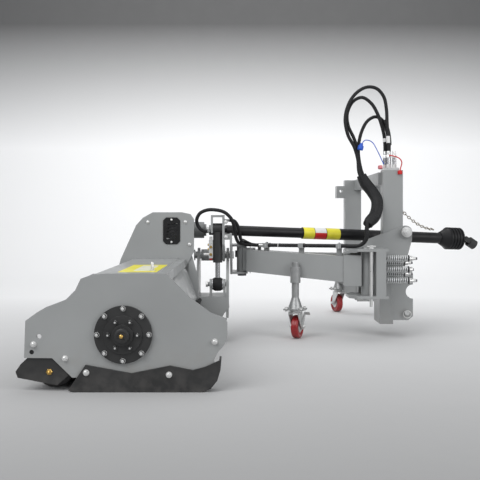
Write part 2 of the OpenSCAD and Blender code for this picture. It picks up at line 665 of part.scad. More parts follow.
// Support stands: a post, a swivelling fork and a wheel
swivel_z = 2 * wheel_r + 20;
pad = [108, 92, 8];
fork_half = wheel_w / 2 + 5;
near_at = p1 + rotate_xy([-378, -arm_w / 2 - 32], -arm_yaw);
near_turn = -22;
module stand_post(z1) difference() {
  union() {
    translate([-pad[0] / 2, -pad[1] / 2, swivel_z + 12]) cube(pad);
    bar_z(0, 0, swivel_z + 12, z1 - swivel_z - 12, post_r);
    translate([0, 0, swivel_z + 12 + pad[2]]) cylinder(h = 60, r1 = 40, r2 = post_r, $fn = 48);
  }
  bar_z(0, 0, swivel_z + 11, 40, 10 + run);
  for (x = [-1, 1]) for (y = [-1, 1]) bar_z(x * (pad[0] / 2 - 12), y * (pad[1] / 2 - 12), swivel_z, 40, 5.5);
}
module fork() difference() {
  union() {
    bar_z(0, 0, swivel_z - 6, 6, 40);
    bar_z(0, 0, swivel_z, 12 - slip, 34);
    bar_z(0, 0, swivel_z, 46, 10);
    for (s = [-1, 1]) {
      x = s * (fork_half + 2) - 2;
      plate_x(x, 4, [[-34, swivel_z], [-34, swivel_z - 16], [trail - 16, wheel_r - 8], [trail - 8, wheel_r - 16],
        [trail + 8, wheel_r - 16], [trail + 16, wheel_r - 8], [36, swivel_z]]);
      bar_x(trail, wheel_r, x, 4, 17);
    }
    bar_x(trail, wheel_r, -fork_half - 12, 2 * fork_half + 24, 6);
  }
}
module wheel() {
  translate([-wheel_w / 2, trail, wheel_r]) rotate([0, 90, 0]) rotate_extrude()
    polygon(concat([[6 + run, -2], [20, -2], [20, 3], [wheel_r - 14, 6]],
      arc([wheel_r - tyre_round, tyre_round - 1], tyre_round, -60, 0, 4),
      arc([wheel_r - tyre_round, wheel_w - tyre_round + 1], tyre_round, 0, 60, 4),
      [[wheel_r - 14, wheel_w - 6], [20, wheel_w - 3], [20, wheel_w + 2], [6 + run, wheel_w + 2]]));
}
module near_spot() { translate([near_at[0], near_at[1], 0]) rotate([0, 0, near_turn]) children(); }
module far_spot() { translate([far_at[0], far_at[1], 0]) rotate([0, 0, far_turn]) children(); }
module near_stand() color([0.58, 0.59, 0.6]) {
  near_spot() stand_post(420);
  along_arm() difference() {
    union() {
      bar_z(-378, -arm_w / 2 - 32, 308, 86, post_r + 8);
      block([-398, -arm_w / 2 - 20, 318], [-358, -arm_w / 2, 384]);
    }
    bar_z(-378, -arm_w / 2 - 32, 200, 300, post_r + run);
  }
}
module far_stand() color([0.5, 0.51, 0.52]) {
  far_spot() stand_post(300);
  difference() {
    union() {
      bar_z(far_at[0], far_at[1], 200, 90, post_r + 8);
      block([far_at[0] - 10, far_leg_y1, 205], [far_at[0] + 90, far_at[1] - 5, 285]);
    }
    bar_z(far_at[0], far_at[1], 150, 300, post_r + run);
  }
}
module near_fork() color([0.62, 0.63, 0.64]) near_spot() fork();
module far_fork() color([0.62, 0.63, 0.64]) far_spot() fork();
module near_wheel() color([0.72, 0.13, 0.08]) near_spot() wheel();
module far_wheel() color([0.72, 0.13, 0.08]) far_spot() wheel();
// Foot brake beside the near wheel, pinned to the fork's outer face
module near_brake() color([0.45, 0.46, 0.47]) near_spot() {
  x = fork_half + 4 + slip;
  difference() {
    plate_x(x, 5, [[trail - 12, wheel_r - 12], [trail + 12, wheel_r - 12], [trail + 14, wheel_r + 20],
      [trail + 46, wheel_r + 66], [trail + 30, wheel_r + 78], [trail - 12, wheel_r + 34]]);
    bar_x(trail, wheel_r, x - 1, 8, 6 + run);
  }
  plate_x(x + 5, 26, [[trail + 46, wheel_r + 60], [trail + 46, wheel_r + 66], [trail + 30, wheel_r + 78],
    [trail + 30, wheel_r + 72]]);
}

// Headstock that the tractor carries
leg_x = [799, 910];
foot_x = [782, 855];
foot_z = [69, 482];
foot_far = near_face + 175;
far_leg_x = [720, 830];
far_leg_y0 = link_y + link_span - link_gap / 2;
far_leg_y1 = far_leg_y0 + link_gap;
beam_z = [850, 920];
wall = 8;
link_plate = [[845, 91], [940, 91], [966, 112], [966, 350], [946, 370], [845, 370]];
link_plate_far = [[800, 91], [940, 91], [966, 112], [966, 350], [946, 370], [800, 370]];
mast_half = 26;
mast_z = link_z + mast_h;
mast_x = 935;
shift_pin_r = 10;
shift_half = 30;
module head_frame() {
  block([leg_x[0], near_face, 365], [leg_x[1], near_face + leg_d, leg_h]);
  block([foot_x[0], near_face, foot_z[0]], [foot_x[1], foot_far, foot_z[1]]);
  block([far_leg_x[0], far_leg_y0, 140], [far_leg_x[1], far_leg_y1, beam_z[1]]);
  block([785, near_face + leg_d - 5, beam_z[0]], [foot_x[1], far_leg_y0 + 5, beam_z[1]]);
  block([790, foot_far - 5, 250], [850, far_leg_y0 + 5, 330]);
  block([662, far_leg_y0, 798], [far_leg_x[0] + 5, far_leg_y1, 880]);
  for (z = [shift_z - shift_half - 12, shift_z + shift_half])
    block([shift_lug[0] - 22, shift_lug[1] - 24, z], [foot_x[0] + 5, shift_lug[1] + 24, z + 12]);
}
module headstock() color([0.52, 0.54, 0.56]) {
  difference() {
    head_frame();
    block([leg_x[0] + wall, near_face + wall, foot_z[1] + wall],
      [leg_x[1] - wall, near_face + leg_d - wall, leg_h - wall]);
    block([foot_x[0] + wall, near_face + wall, 0], [foot_x[1] - wall, foot_far - wall, foot_z[1] - wall]);
    bar_y(693, 846, far_leg_y0 - 1, 80, 11);
    bar_z(shift_lug[0], shift_lug[1], 300, 150, shift_pin_r + run);
  }
  bar_z(shift_lug[0], shift_lug[1], shift_z - shift_half - 18, 2 * shift_half + 36, shift_pin_r);
}
// Plates welded to the headstock for the tractor's lower links and top link
module hitch_plates() color([0.52, 0.54, 0.56]) difference() {
  union() {
    for (y = [near_face, near_face + link_t + link_gap]) plate_y(y, link_t, link_plate);
    for (y = [far_leg_y0 - link_t, far_leg_y1]) plate_y(y, link_t, link_plate_far);
    for (y = [hitch_y - mast_half - link_t, hitch_y + mast_half])
      plate_y(y, link_t, [[790, 860], [790, 915], [900, 915], [966, 780], [966, 712], [900, 712]]);
  }
  head_frame();
  for (y = [link_y, link_y + link_span]) bar_y(link_x, link_z, y - 60, 120, link_pin_r + run);
  bar_y(966, 250, near_face - 1, link_t * 2 + link_gap + 2, 40);
  bar_y(966, 250, far_leg_y0 - link_t - 1, link_t * 2 + link_gap + 2, 40);
  bar_y(mast_x, mast_z, hitch_y - 50, 100, top_pin_r + run);
}

// Plates and box that carry the arm's front pivot and the breakaway
box_x = [722, 775];
box_y = [1040, 1220];
lock_at = [697, 1052];
lock_r = 9;
near_rods = [[1085, 444], [1085, 385], [1085, 326]];
far_rods = [[1185, 415], [1185, 355]];
rods = concat(near_rods, far_rods);
rod_bar_r = 7;
nut_x = 901;
link_pin_at = p1 + link_off;
module bracket_plate(z) difference() {
  plate_z(z, plate_t, [[583, 1088], [622, box_y[0]], [788, box_y[0]], [788, near_face], [foot_x[0] - 1, near_face],
    [622, near_face + 12], [583, 1200]]);
  bar_z(p1[0], p1[1], z - 1, plate_t + 2, swing_r + run);
  bar_z(lock_at[0], lock_at[1], z - 1, plate_t + 2, lock_r + run);
  bar_z(link_pin_at[0], link_pin_at[1], z - 1, plate_t + 2, shift_pin_r + run);
}
module swing_bracket() color([0.55, 0.57, 0.58]) {
  difference() {
    union() {
      bracket_plate(top_plate_z);
      bracket_plate(low_plate_z - plate_t);
      block([box_x[0], box_y[0], low_plate_z], [box_x[1], box_y[1], top_plate_z]);
      plate_y(near_face - 12, 12, [[600, top_plate_z], [600, top_plate_z + 20], [866, 600], [900, 612], [940, 612],
        [958, 590], [958, 540], [925, 420], [860, 300], [790, low_plate_z], [box_x[0], low_plate_z],
        [box_x[0], top_plate_z]]);
      bar_y(922, 583, near_face - 18, 18, 36);
    }
    block([box_x[0] + 6, box_y[0] + 6, low_plate_z], [box_x[1] - 6, box_y[1] - 6, top_plate_z]);
    for (r = rods) bar_x(r[0], r[1], box_x[1] - 10, 20, rod_bar_r + run);
  }
  bar_y(922, 583, near_face - 30, 12, 28);
  translate([922, near_face - 46, 583]) rotate([-90, 0, 0]) cylinder(h = 16, r = 20, $fn = 6);
  bar_z(link_pin_at[0], link_pin_at[1], low_plate_z - plate_t - 6, top_plate_z - low_plate_z + 2 * plate_t + 12,
    shift_pin_r);
}
module swing_pin() color([0.75, 0.75, 0.77]) {
  bar_z(p1[0], p1[1], low_plate_z - plate_t - 12, top_plate_z - low_plate_z + 2 * plate_t + 18, swing_r);
  bar_z(p1[0], p1[1], low_plate_z - plate_t - 12, 12, swing_r + 8);
  bar_z(p1[0], p1[1], top_plate_z + plate_t, 6, swing_r + 8);
}
// Slim locking pin that is lifted out to free the arm
module lock_pin() color([0.8, 0.8, 0.82]) {
  bar_z(lock_at[0], lock_at[1], 190, 326, lock_r);
  bar_z(lock_at[0], lock_at[1], top_plate_z + plate_t + slip, 8, lock_r + 6);
  bar_x(lock_at[1], 510, lock_at[0] - 24, 48, 4);
}

// Pressure plate and rods of the breakaway, with their nuts
module spring_rods() color([0.5, 0.52, 0.53]) {
  block([752, box_y[0] + 10, 300], [764, box_y[1] - 10, 470]);
  for (r = rods) {
    tip = r[1] == 385 ? 930 : 948;
    bar_x(r[0], r[1], 764, tip - 764, rod_bar_r);
    bar_x(r[0], r[1], nut_x, 4, spring_r);
    translate([nut_x + 4, r[0], r[1]]) rotate([0, 90, 0]) cylinder(h = 14, r = 14, $fn = 6);
  }
}
// A breakaway spring as one wire, its ends straight and square to the faces that hold it
coil_r = spring_r - wire_r;
coil_len = nut_x - box_x[1];
lead = 3 * wire_r;
coil_pitch = (coil_len - 2 * lead) / spring_curls;
function coil_path() = concat([[0, coil_r, 0], [2 * wire_r, coil_r, 0]],
  [for (i = [1:8 * spring_curls - 1]) [lead + coil_pitch * i / 8, coil_r * cos(45 * i), coil_r * sin(45 * i)]],
  [[coil_len - 2 * wire_r, coil_r, 0], [coil_len, coil_r, 0]]);
function wire_gap(p) = min([for (i = [0:len(p) - 1]) for (j = [i + 6:1:len(p) - 1]) norm(p[i] - p[j])]) - 2 * wire_r;
module spring_set(list) for (r = list) translate([box_x[1], r[0], r[1]]) sweep_tube(coil_path(), wire_r, 6);
echo("Least gap of a spring to itself", wire_gap(coil_path()));  // near_springs
module near_springs() color([0.5, 0.51, 0.52]) spring_set(near_rods);
module far_springs() color([0.5, 0.51, 0.52]) spring_set(far_rods);

// Link that keeps the carriage parallel to the headstock
rear_link_at = p2 + link_off;
module parallel_link() color([0.53, 0.55, 0.56]) difference() {
  union() {
    rod3([link_pin_at[0], link_pin_at[1], link_rod_z], [rear_link_at[0], rear_link_at[1], link_rod_z], 15);
    for (p = [link_pin_at, rear_link_at]) bar_z(p[0], p[1], link_rod_z - 19, 38, 20);
  }
  for (p = [link_pin_at, rear_link_at]) bar_z(p[0], p[1], link_rod_z - 40, 80, 10 + run);
}
// Cylinder that swings the arm
shift_way = unit(shift_arm - shift_lug);
shift_turn = atan2(shift_way[1], shift_way[0]);
shift_gap = norm(shift_arm - shift_lug);
module along_shift() {
  translate([shift_lug[0], shift_lug[1], shift_z]) rotate([0, 0, shift_turn]) children();
}
module shift_barrel() color([0.12, 0.12, 0.12]) along_shift() difference() {
  union() {
    bar_z(0, 0, -shift_half + slip, 2 * (shift_half - slip), 20);
    bar_x(0, 0, 0, 214, 24);
  }
  bar_z(0, 0, -60, 120, shift_pin_r + run);
  bar_x(0, 0, 62, 160, rod_r + run);
  difference() {
    translate([-30, -30, -60]) cube([54, 60, 120]);
    bar_z(0, 0, -70, 140, 20);
    translate([0, -24, -24]) cube([60, 48, 48]);
  }
}
module shift_rod() color([0.8, 0.8, 0.82]) along_shift() difference() {
  union() {
    bar_z(shift_gap, 0, -shift_half + slip, 2 * (shift_half - slip), 20);
    bar_x(0, 0, shift_gap - 165, 165, rod_r);
  }
  bar_z(shift_gap, 0, -60, 120, shift_pin_r + run);
}
module link_pins() color([0.7, 0.7, 0.68]) {
  for (y = [link_y, link_y + link_span]) {
    bar_y(link_x, link_z, y - link_gap / 2 - link_t - 18, link_gap + 2 * link_t + 34, link_pin_r);
    bar_y(link_x, link_z, y + link_gap / 2 + link_t, 8, link_pin_r + 8);
  }
}

// Chain from the leg to the shaft guard
chain_a = [916, 1282, 700];
chain_b = [1172, 1596, 592];
chain_n = 15;
chain_sag = 22;
chain_way = chain_b - chain_a;
function chain_slope(t) = chain_way + [0, 0, -4 * chain_sag * (1 - 2 * t)];
chain_s0 = norm(chain_slope(0));
chain_s1 = norm(chain_slope(1));
link_len = (chain_s0 + chain_s1) / 2 / chain_n;
link_w = 5;
link_hole = 4.4;
link_seat = link_len / 2 - link_hole + 0.6;
// Evenly spaced places along the sagging chain
function chain_t(i) = (sqrt(pow(chain_s0, 2) + (chain_s1 - chain_s0) * (chain_s0 + chain_s1) * (i + 0.5) / chain_n)
  - chain_s0) / (chain_s1 - chain_s0);
module chain_link() {
  translate([0, 0, -link_w / 2]) linear_extrude(link_w) difference() {
    slot2([-link_seat, 0], [link_seat, 0], link_hole + link_w, 8);
    slot2([-link_seat, 0], [link_seat, 0], link_hole, 8);
  }
}
module safety_chain() color([0.75, 0.75, 0.76]) {
  for (i = [0:chain_n - 1]) {
    t = chain_t(i);
    slope = chain_slope(t);
    translate(chain_a + t * chain_way + [0, 0, -4 * chain_sag * t * (1 - t)])
      rotate([0, asin(-slope[2] / norm(slope)), atan2(chain_way[1], chain_way[0])])
        rotate([i % 2 == 0 ? 90 : 0, 0, 0]) chain_link();
  }
  bar_x(chain_a[1] - 6, chain_a[2], leg_x[1], 6, 7);
}

// Quick couplers on top of the near leg
coupler_at = [[832, 1262], [818, 1284], [846, 1306], [866, 1266]];
coupler_top = 1037;
module couplers() color([0.7, 0.7, 0.66]) {
  block([leg_x[0] + 4, near_face + 4, leg_h], [leg_x[1] - 20, near_face + leg_d + 4, leg_h + 14]);
  for (c = coupler_at) {
    bar_z(c[0], c[1], leg_h + 14, 54, 10.5);
    bar_z(c[0], c[1], leg_h + 68, coupler_top - leg_h - 68, 9);
  }
}

// Routes of the free hoses
arm_hose_top = hose_z + hose_bend + 12;
function arm_hose_at(i) = p1 + rotate_xy([0, (i - 1) * hose_gap], -arm_yaw);
function hose_end_at(i, up) = [arm_hose_at(i)[0], arm_hose_at(i)[1], arm_hose_top + up];
loop_1 = [[832, 1262, 1037.3], [832, 1262, 1066], [830, 1262, 1120], [825, 1262, 1190], [822, 1264, 1270],
  [808, 1266, 1340], [768, 1268, 1388], [710, 1270, 1396], [650, 1270, 1360], [608, 1270, 1295],
  [591, 1270, 1215], [606, 1270, 1130], [642, 1270, 1060], [662, 1270, 990], [668, 1268, 920],
  [690, 1262, 865], [724, 1250, 815], [746, 1230, 765], [740, 1198, 718], [714, 1160, 682], [692, 1124, 648]];
loop_2 = [[818, 1284, 1037.3], [818, 1284, 1064], [814, 1284, 1120], [799, 1285, 1185], [776, 1287, 1250],
  [742, 1289, 1308], [690, 1290, 1342], [636, 1290, 1316], [606, 1290, 1250], [612, 1290, 1180],
  [642, 1290, 1115], [664, 1290, 1050], [672, 1290, 985], [680, 1288, 920], [704, 1282, 862],
  [740, 1270, 812], [764, 1250, 764], [760, 1222, 712], [738, 1186, 668], [704, 1146, 640]];
loop_3 = [[846, 1306, 1037.3], [846, 1306, 1066], [845, 1306, 1104], [836, 1308, 1160], [812, 1309, 1212],
  [770, 1310, 1236], [724, 1310, 1212], [694, 1310, 1160], [677, 1310, 1100], [672, 1310, 1040],
  [678, 1310, 980], [692, 1308, 920], [716, 1302, 862], [752, 1290, 812], [780, 1272, 760],
  [784, 1246, 705], [764, 1212, 655], [724, 1170, 625]];
module hose_loop(route, i) color([0.05, 0.05, 0.05])
  sweep_tube(concat(route, [hose_end_at(i, 26), hose_end_at(i, 0.3)]), hose_r, 8);
function tail_start(i, out) = concat(p1 + rotate_xy([-hose_end - out, (i - 1) * hose_gap], -arm_yaw), [hose_z]);
tail_1 = [tail_start(0, 0.3), tail_start(0, 24), [58, 1284, 510], [32, 1266, 512], [6, 1240, 518],
  [-10, 1212, 528], [-20, 1182, 548], [-26, 1146, 570], [-30, 1108, 592], [-34, 1078, 626], [-50, 1068, 662],
  [-84, 1072, 692], [-128, 1077, 704], [-174, 1084, 704], [-215, 1092, 686], [-233, 1100, 649],
  [-222, 1106, 612], [-196, 1108, 590], [-175.8, 1108, 590]];
tail_2 = [tail_start(1, 0.3), tail_start(1, 24), [64, 1308, 512], [42, 1299, 522], [26, 1280, 531],
  [17, 1250, 536], [12, 1216, 536], [6, 1182, 541], [0, 1152, 562], [-5, 1134, 592], [-14, 1120, 622],
  [-28, 1111, 643], [-42, 1108, 648], [-56, 1108, 648]];
module tail_hose_1() color([0.05, 0.05, 0.05]) sweep_tube(tail_1, hose_r, 8);
module tail_hose_2() color([0.05, 0.05, 0.05]) sweep_tube(tail_2, hose_r, 8);

// Drive shaft, drawn along its own axis from the joint at the gearbox
module along_shaft() {
  translate(cross_at) rotate([0, shaft_pitch, shaft_yaw]) children();
}
rear_guard_r = 29;
joint_r = 8;
eye_r = 14;
module shaft_collar() color([0.3, 0.3, 0.3]) translate(cross_at) {
  difference() {
    bar_x(0, 0, -62, 24, 28);
    bar_x(0, 0, -70, 60, shaft_r + run);
  }
  for (s = [-1, 1]) block([-40, -13, s * 20 - 4], [14, 13, s * 20 + 4]);
  bar_z(0, 0, -16, 32, joint_r);
}
module rear_guard() color([0.04, 0.04, 0.04]) {
  translate(cross_at) difference() {
    bar_z(0, 0, -15.5, 31, 15);
    bar_z(0, 0, -20, 40, joint_r + run);
  }
  along_shaft() difference() {
    union() {
      bar_x(0, 0, 13, 20, 12);
      bar_x(0, 0, 30, 670, rear_guard_r);
    }
    bar_x(0, 0, 60, 700, rear_guard_r - 4);
  }
}
guard_from = 488;
guard_to = 1392;
cover_from = 1442;
rib_pitch = 20;
module front_guard() color([0.04, 0.04, 0.04]) along_shaft() {
  difference() {
    union() {
      bar_x(0, 0, guard_from, guard_to - guard_from, guard_r);
      translate([guard_to, 0, 0]) rotate([0, 90, 0])
        cylinder(h = cover_from - guard_to, r1 = guard_r + 4, r2 = cone_r - 4);
      bar_x(0, 0, cover_from, 4 * rib_pitch + 8, cone_r - 6);
      for (k = [0:4]) bar_x(0, 0, cover_from + rib_pitch * k, 8, cone_r);
    }
    bar_x(0, 0, 480, 380, rear_guard_r + run);
    bar_x(0, 0, 1450, 90, cone_r - 12);
  }
  difference() {
    union() {
      bar_x(0, 0, 1440, yoke_at - 22 - 1440, 20);
      block([yoke_at - 23, -11, -eye_r], [yoke_at, 11, eye_r]);
      bar_y(yoke_at, 0, -11, 22, eye_r);
    }
    bar_y(yoke_at, 0, -40, 80, joint_r + run);
  }
}
module tractor_yoke() color([0.62, 0.62, 0.6]) along_shaft() translate([yoke_at, 0, 0]) rotate([0, yoke_droop, 0]) {
  difference() {
    union() {
      for (s = [-1, 1]) block([-12, s > 0 ? 11.5 : -23.5, -14], [40, s > 0 ? 23.5 : -11.5, 14]);
      bar_x(0, 0, 30, yoke_len - 30, yoke_r);
    }
    bar_x(0, 0, 29, 50, spline_r);
  }
  bar_y(0, 0, -23.5, 47, joint_r);
}

place() deck_shell();
place() deck_mount();
place() rotor_bearings();
place() skids();
place() roller_brackets();
place() roller();
place() rotor();
place() flail_pins();
place() flail_row(0);  // flail_row_1
place() flail_row(1);  // flail_row_2
place() flail_row(2);  // flail_row_3
place() flail_row(3);  // flail_row_4
place() front_flaps();
place() flap_rod();
place() rear_flap();
place() belt_case();
place() vent_panel();
place() drive_belt();
place() lower_pulley();
place() upper_pulley();
place() gearbox();
place() input_shaft();
place() tilt_shaft();
place() tilt_barrel();
place() tilt_rod();
place() valve_block();
place() carriage();
place() rear_pivot_pin();
place() swing_arm();
place() arm_hoses();
place() hose_clamps();
place() near_stand();
place() near_fork();
place() near_wheel();
place() near_brake();
place() far_stand();
place() far_fork();
place() far_wheel();
place() headstock();
place() hitch_plates();
place() swing_bracket();
place() swing_pin();
place() lock_pin();
place() spring_rods();
place() near_springs();
place() far_springs();
place() parallel_link();
place() shift_barrel();
place() shift_rod();
place() link_pins();
place() safety_chain();
place() couplers();
place() hose_loop(loop_1, 0);  // hose_loop_1
place() hose_loop(loop_2, 1);  // hose_loop_2
place() hose_loop(loop_3, 2);  // hose_loop_3
place() tail_hose_1();
place() tail_hose_2();
place() shaft_collar();
place() rear_guard();
place() front_guard();
place() tractor_yoke();
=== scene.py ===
import math
import bpy
import numpy as np
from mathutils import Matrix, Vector


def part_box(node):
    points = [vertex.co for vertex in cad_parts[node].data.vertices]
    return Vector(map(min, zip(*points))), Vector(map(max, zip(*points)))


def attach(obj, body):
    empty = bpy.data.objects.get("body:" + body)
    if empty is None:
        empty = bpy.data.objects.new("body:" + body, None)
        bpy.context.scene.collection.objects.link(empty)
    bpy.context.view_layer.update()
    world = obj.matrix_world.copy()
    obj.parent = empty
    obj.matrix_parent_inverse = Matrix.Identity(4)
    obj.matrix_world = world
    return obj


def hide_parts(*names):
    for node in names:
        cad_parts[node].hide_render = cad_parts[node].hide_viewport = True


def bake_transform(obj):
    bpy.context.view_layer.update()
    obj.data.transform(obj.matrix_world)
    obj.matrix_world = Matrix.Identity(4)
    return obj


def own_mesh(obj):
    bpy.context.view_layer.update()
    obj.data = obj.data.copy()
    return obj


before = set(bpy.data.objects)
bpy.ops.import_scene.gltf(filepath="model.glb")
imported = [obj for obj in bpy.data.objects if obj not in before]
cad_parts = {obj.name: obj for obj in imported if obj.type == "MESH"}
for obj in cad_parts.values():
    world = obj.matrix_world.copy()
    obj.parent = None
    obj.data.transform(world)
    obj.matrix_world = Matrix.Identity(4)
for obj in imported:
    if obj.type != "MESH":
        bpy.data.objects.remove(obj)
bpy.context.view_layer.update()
print("frame loaded")

# Sizes and places are in the maker's millimetres, turned into the shared frame's metres
origin = {"along": -311.3346, "across": -1143.2471}

# Directions: ahead is towards the tractor, near is the side that the photograph shows
ahead, behind = (1, 0, 0), (-1, 0, 0)
toNear, toFar = (0, -1, 0), (0, 1, 0)
up, down = (0, 0, 1), (0, 0, -1)


def at(p):
    return ((p[0] + origin["along"]) / 1000, (p[1] + origin["across"]) / 1000, p[2] / 1000)


def ats(points):
    return [at(p) for p in points]


# Camera at the photograph's viewing angle
viewSizes = {"eye": (0, -2650, 661), "lens": 52.3, "sensor": 36, "shift": -0.0458, "far": 60}
cameraData = bpy.data.cameras.new("photoCamera")
cameraData.lens = viewSizes["lens"]
cameraData.sensor_width = viewSizes["sensor"]
cameraData.shift_y = viewSizes["shift"]
cameraData.clip_end = viewSizes["far"]
photoCamera = bpy.data.objects.new("photoCamera", cameraData)
photoCamera.location = at(viewSizes["eye"])
photoCamera.rotation_euler = (math.pi / 2, 0, 0)
bpy.context.collection.objects.link(photoCamera)
scene = bpy.context.scene
scene.camera = photoCamera
scene.view_settings.view_transform = "Standard"


# Materials
def link(tree, a, b):
    tree.links.new(a, b)


def node(tree, kind, **sockets):
    made = tree.nodes.new(kind)
    for key, value in sockets.items():
        socket = made.inputs[key.replace("_", " ")]
        if isinstance(value, bpy.types.NodeSocket):
            link(tree, value, socket)
        else:
            socket.default_value = value
    return made


def mixColour(tree, factor, a, b):
    mix = tree.nodes.new("ShaderNodeMix")
    mix.data_type = "RGBA"
    link(tree, factor, mix.inputs[0])
    for socket, value in ((mix.inputs[6], a), (mix.inputs[7], b)):
        if isinstance(value, tuple):
            socket.default_value = (*value, 1)
        else:
            link(tree, value, socket)
    return mix.outputs[2]


def spread(tree, value, low, high, outLow, outHigh):
    return node(tree, "ShaderNodeMapRange", Value=value, From_Min=low, From_Max=high,
                To_Min=outLow, To_Max=outHigh).outputs[0]


def noise(tree, vector, scale, detail):
    return node(tree, "ShaderNodeTexNoise", Vector=vector, Scale=scale, Detail=detail).outputs["Fac"]


def maths(tree, operation, a, b):
    made = tree.nodes.new("ShaderNodeMath")
    made.operation = operation
    for i, value in enumerate((a, b)):
        if isinstance(value, bpy.types.NodeSocket):
            link(tree, value, made.inputs[i])
        else:
            made.inputs[i].default_value = value
    return made.outputs[0]


# How every finish mottles, wears at its edges and gathers dust
finishSizes = {"blotch": (0.35, 0.65, 0, 1), "roughBlotch": (0.3, 0.7), "samples": 4, "grainDepth": 0.0006,
               "edge": (0.86, 0.99, 1, 0), "chipScale": 70, "chip": (0.45, 0.62, 0), "dustFade": 0.75,
               "patchScale": 24, "patch": (0.35, 0.7, 0, 1)}


def makeFinish(name, colour, rough, metallic=0.0, mottle=0.12, mottleScale=9.0, grain=0.12, grainScale=900.0,
               stretch=(1, 1, 1), wear=None, wearAmount=0.5, rounding=0.0015, dust=None, dustTop=0.2,
               coat=0.0, roughSpread=0.1, shine=0.5, weave=None):
    mat = bpy.data.materials.new(name)
    mat.use_nodes = True
    tree = mat.node_tree
    shader = tree.nodes["Principled BSDF"]
    coords = tree.nodes.new("ShaderNodeTexCoord").outputs["Object"]
    place = node(tree, "ShaderNodeMapping", Vector=coords, Scale=stretch).outputs[0]
    darker = tuple(c * (1 - mottle) for c in colour)
    lighter = tuple(min(1, c * (1 + mottle)) for c in colour)
    blotches = spread(tree, noise(tree, place, mottleScale, 5.0), *finishSizes["blotch"])
    shade = mixColour(tree, blotches, darker, lighter)
    bevel = node(tree, "ShaderNodeBevel", Radius=rounding)
    bevel.samples = finishSizes["samples"]
    if wear:
        geometry = tree.nodes.new("ShaderNodeNewGeometry")
        dot = tree.nodes.new("ShaderNodeVectorMath")
        dot.operation = "DOT_PRODUCT"
        link(tree, bevel.outputs[0], dot.inputs[0])
        link(tree, geometry.outputs["Normal"], dot.inputs[1])
        edge = spread(tree, dot.outputs["Value"], *finishSizes["edge"])
        flakes = noise(tree, coords, finishSizes["chipScale"], 4.0)
        chips = spread(tree, flakes, *finishSizes["chip"], wearAmount)
        shade = mixColour(tree, maths(tree, "MULTIPLY", edge, chips), shade, wear)
    if dust:
        parts = node(tree, "ShaderNodeSeparateXYZ", Vector=coords)
        low = spread(tree, parts.outputs["Z"], 0, dustTop, finishSizes["dustFade"], 0)
        patches = spread(tree, noise(tree, coords, finishSizes["patchScale"], 5.0), *finishSizes["patch"])
        shade = mixColour(tree, maths(tree, "MULTIPLY", low, patches), shade, dust)
    link(tree, shade, shader.inputs["Base Color"])
    roughness = spread(tree, noise(tree, place, mottleScale * 4, 4.0), *finishSizes["roughBlotch"],
                       rough - roughSpread, rough + roughSpread)
    link(tree, roughness, shader.inputs["Roughness"])
    for key, value in (("Metallic", metallic), ("Coat Weight", coat), ("Specular IOR Level", shine)):
        shader.inputs[key].default_value = value
    bump = node(tree, "ShaderNodeBump", Strength=grain, Distance=finishSizes["grainDepth"],
                Normal=bevel.outputs[0])
    if weave:
        wave = node(tree, "ShaderNodeTexWave", Vector=coords, Scale=weave)
        wave.bands_direction = "DIAGONAL"
        link(tree, wave.outputs["Fac"], bump.inputs["Height"])
    else:
        link(tree, noise(tree, place, grainScale, 2.0), bump.inputs["Height"])
    link(tree, bump.outputs[0], shader.inputs["Normal"])
    return mat


labelFinish = {"mottle": 0.05, "mottleScale": 20, "grain": 0.03, "rounding": 0.0003}
plasticFinish = {"mottle": 0.06, "mottleScale": 30, "grain": 0.05, "rounding": 0.0005}
greyPaint = makeFinish("greyPaint", (0.315, 0.323, 0.322), 0.42, mottle=0.05, mottleScale=2.5, grain=0.10,
                       grainScale=420, wear=(0.52, 0.52, 0.52), wearAmount=0.55, rounding=0.002,
                       dust=(0.30, 0.29, 0.27), coat=0.15)
darkGreyPaint = makeFinish("darkGreyPaint", (0.20, 0.205, 0.205), 0.45, mottle=0.10, mottleScale=4,
                           wear=(0.42, 0.42, 0.42), rounding=0.002)
blackPaint = makeFinish("blackPaint", (0.028, 0.028, 0.028), 0.46, shine=0.4, mottle=0.2, mottleScale=6,
                        grain=0.14, grainScale=380, wear=(0.16, 0.16, 0.16), dust=(0.085, 0.08, 0.076),
                        dustTop=0.12, coat=0.1)
blackPlastic = makeFinish("blackPlastic", (0.010, 0.010, 0.011), 0.42, shine=0.32, mottle=0.2, mottleScale=12,
                          grain=0.2, grainScale=600)
blackRubber = makeFinish("blackRubber", (0.014, 0.014, 0.015), 0.7, shine=0.3, mottle=0.25, mottleScale=14,
                         grain=0.35, grainScale=500)
hoseRubber = makeFinish("hoseRubber", (0.011, 0.011, 0.012), 0.52, shine=0.35, mottle=0.25, mottleScale=30,
                        grain=0.5, weave=210.0)
zinc = makeFinish("zinc", (0.60, 0.605, 0.60), 0.34, metallic=0.75, mottle=0.10, mottleScale=28, grain=0.10,
                  wear=(0.85, 0.85, 0.84), rounding=0.0008, roughSpread=0.08)
brightZinc = makeFinish("brightZinc", (0.74, 0.74, 0.73), 0.3, metallic=0.6, mottle=0.04, mottleScale=6,
                        grain=0.03, rounding=0.0006, roughSpread=0.03)
turnedSteel = makeFinish("turnedSteel", (0.56, 0.56, 0.57), 0.24, metallic=0.95, mottle=0.05, mottleScale=18,
                         grain=0.16, grainScale=260, stretch=(1, 1, 14), rounding=0.0006, roughSpread=0.06)
darkSteel = makeFinish("darkSteel", (0.13, 0.13, 0.135), 0.5, metallic=0.6, mottle=0.22, mottleScale=22,
                       grain=0.3, grainScale=300, wear=(0.4, 0.4, 0.4), rounding=0.001)
brass = makeFinish("brass", (0.62, 0.40, 0.12), 0.3, metallic=0.95, mottle=0.1, mottleScale=40, grain=0.05,
                   rounding=0.0005)
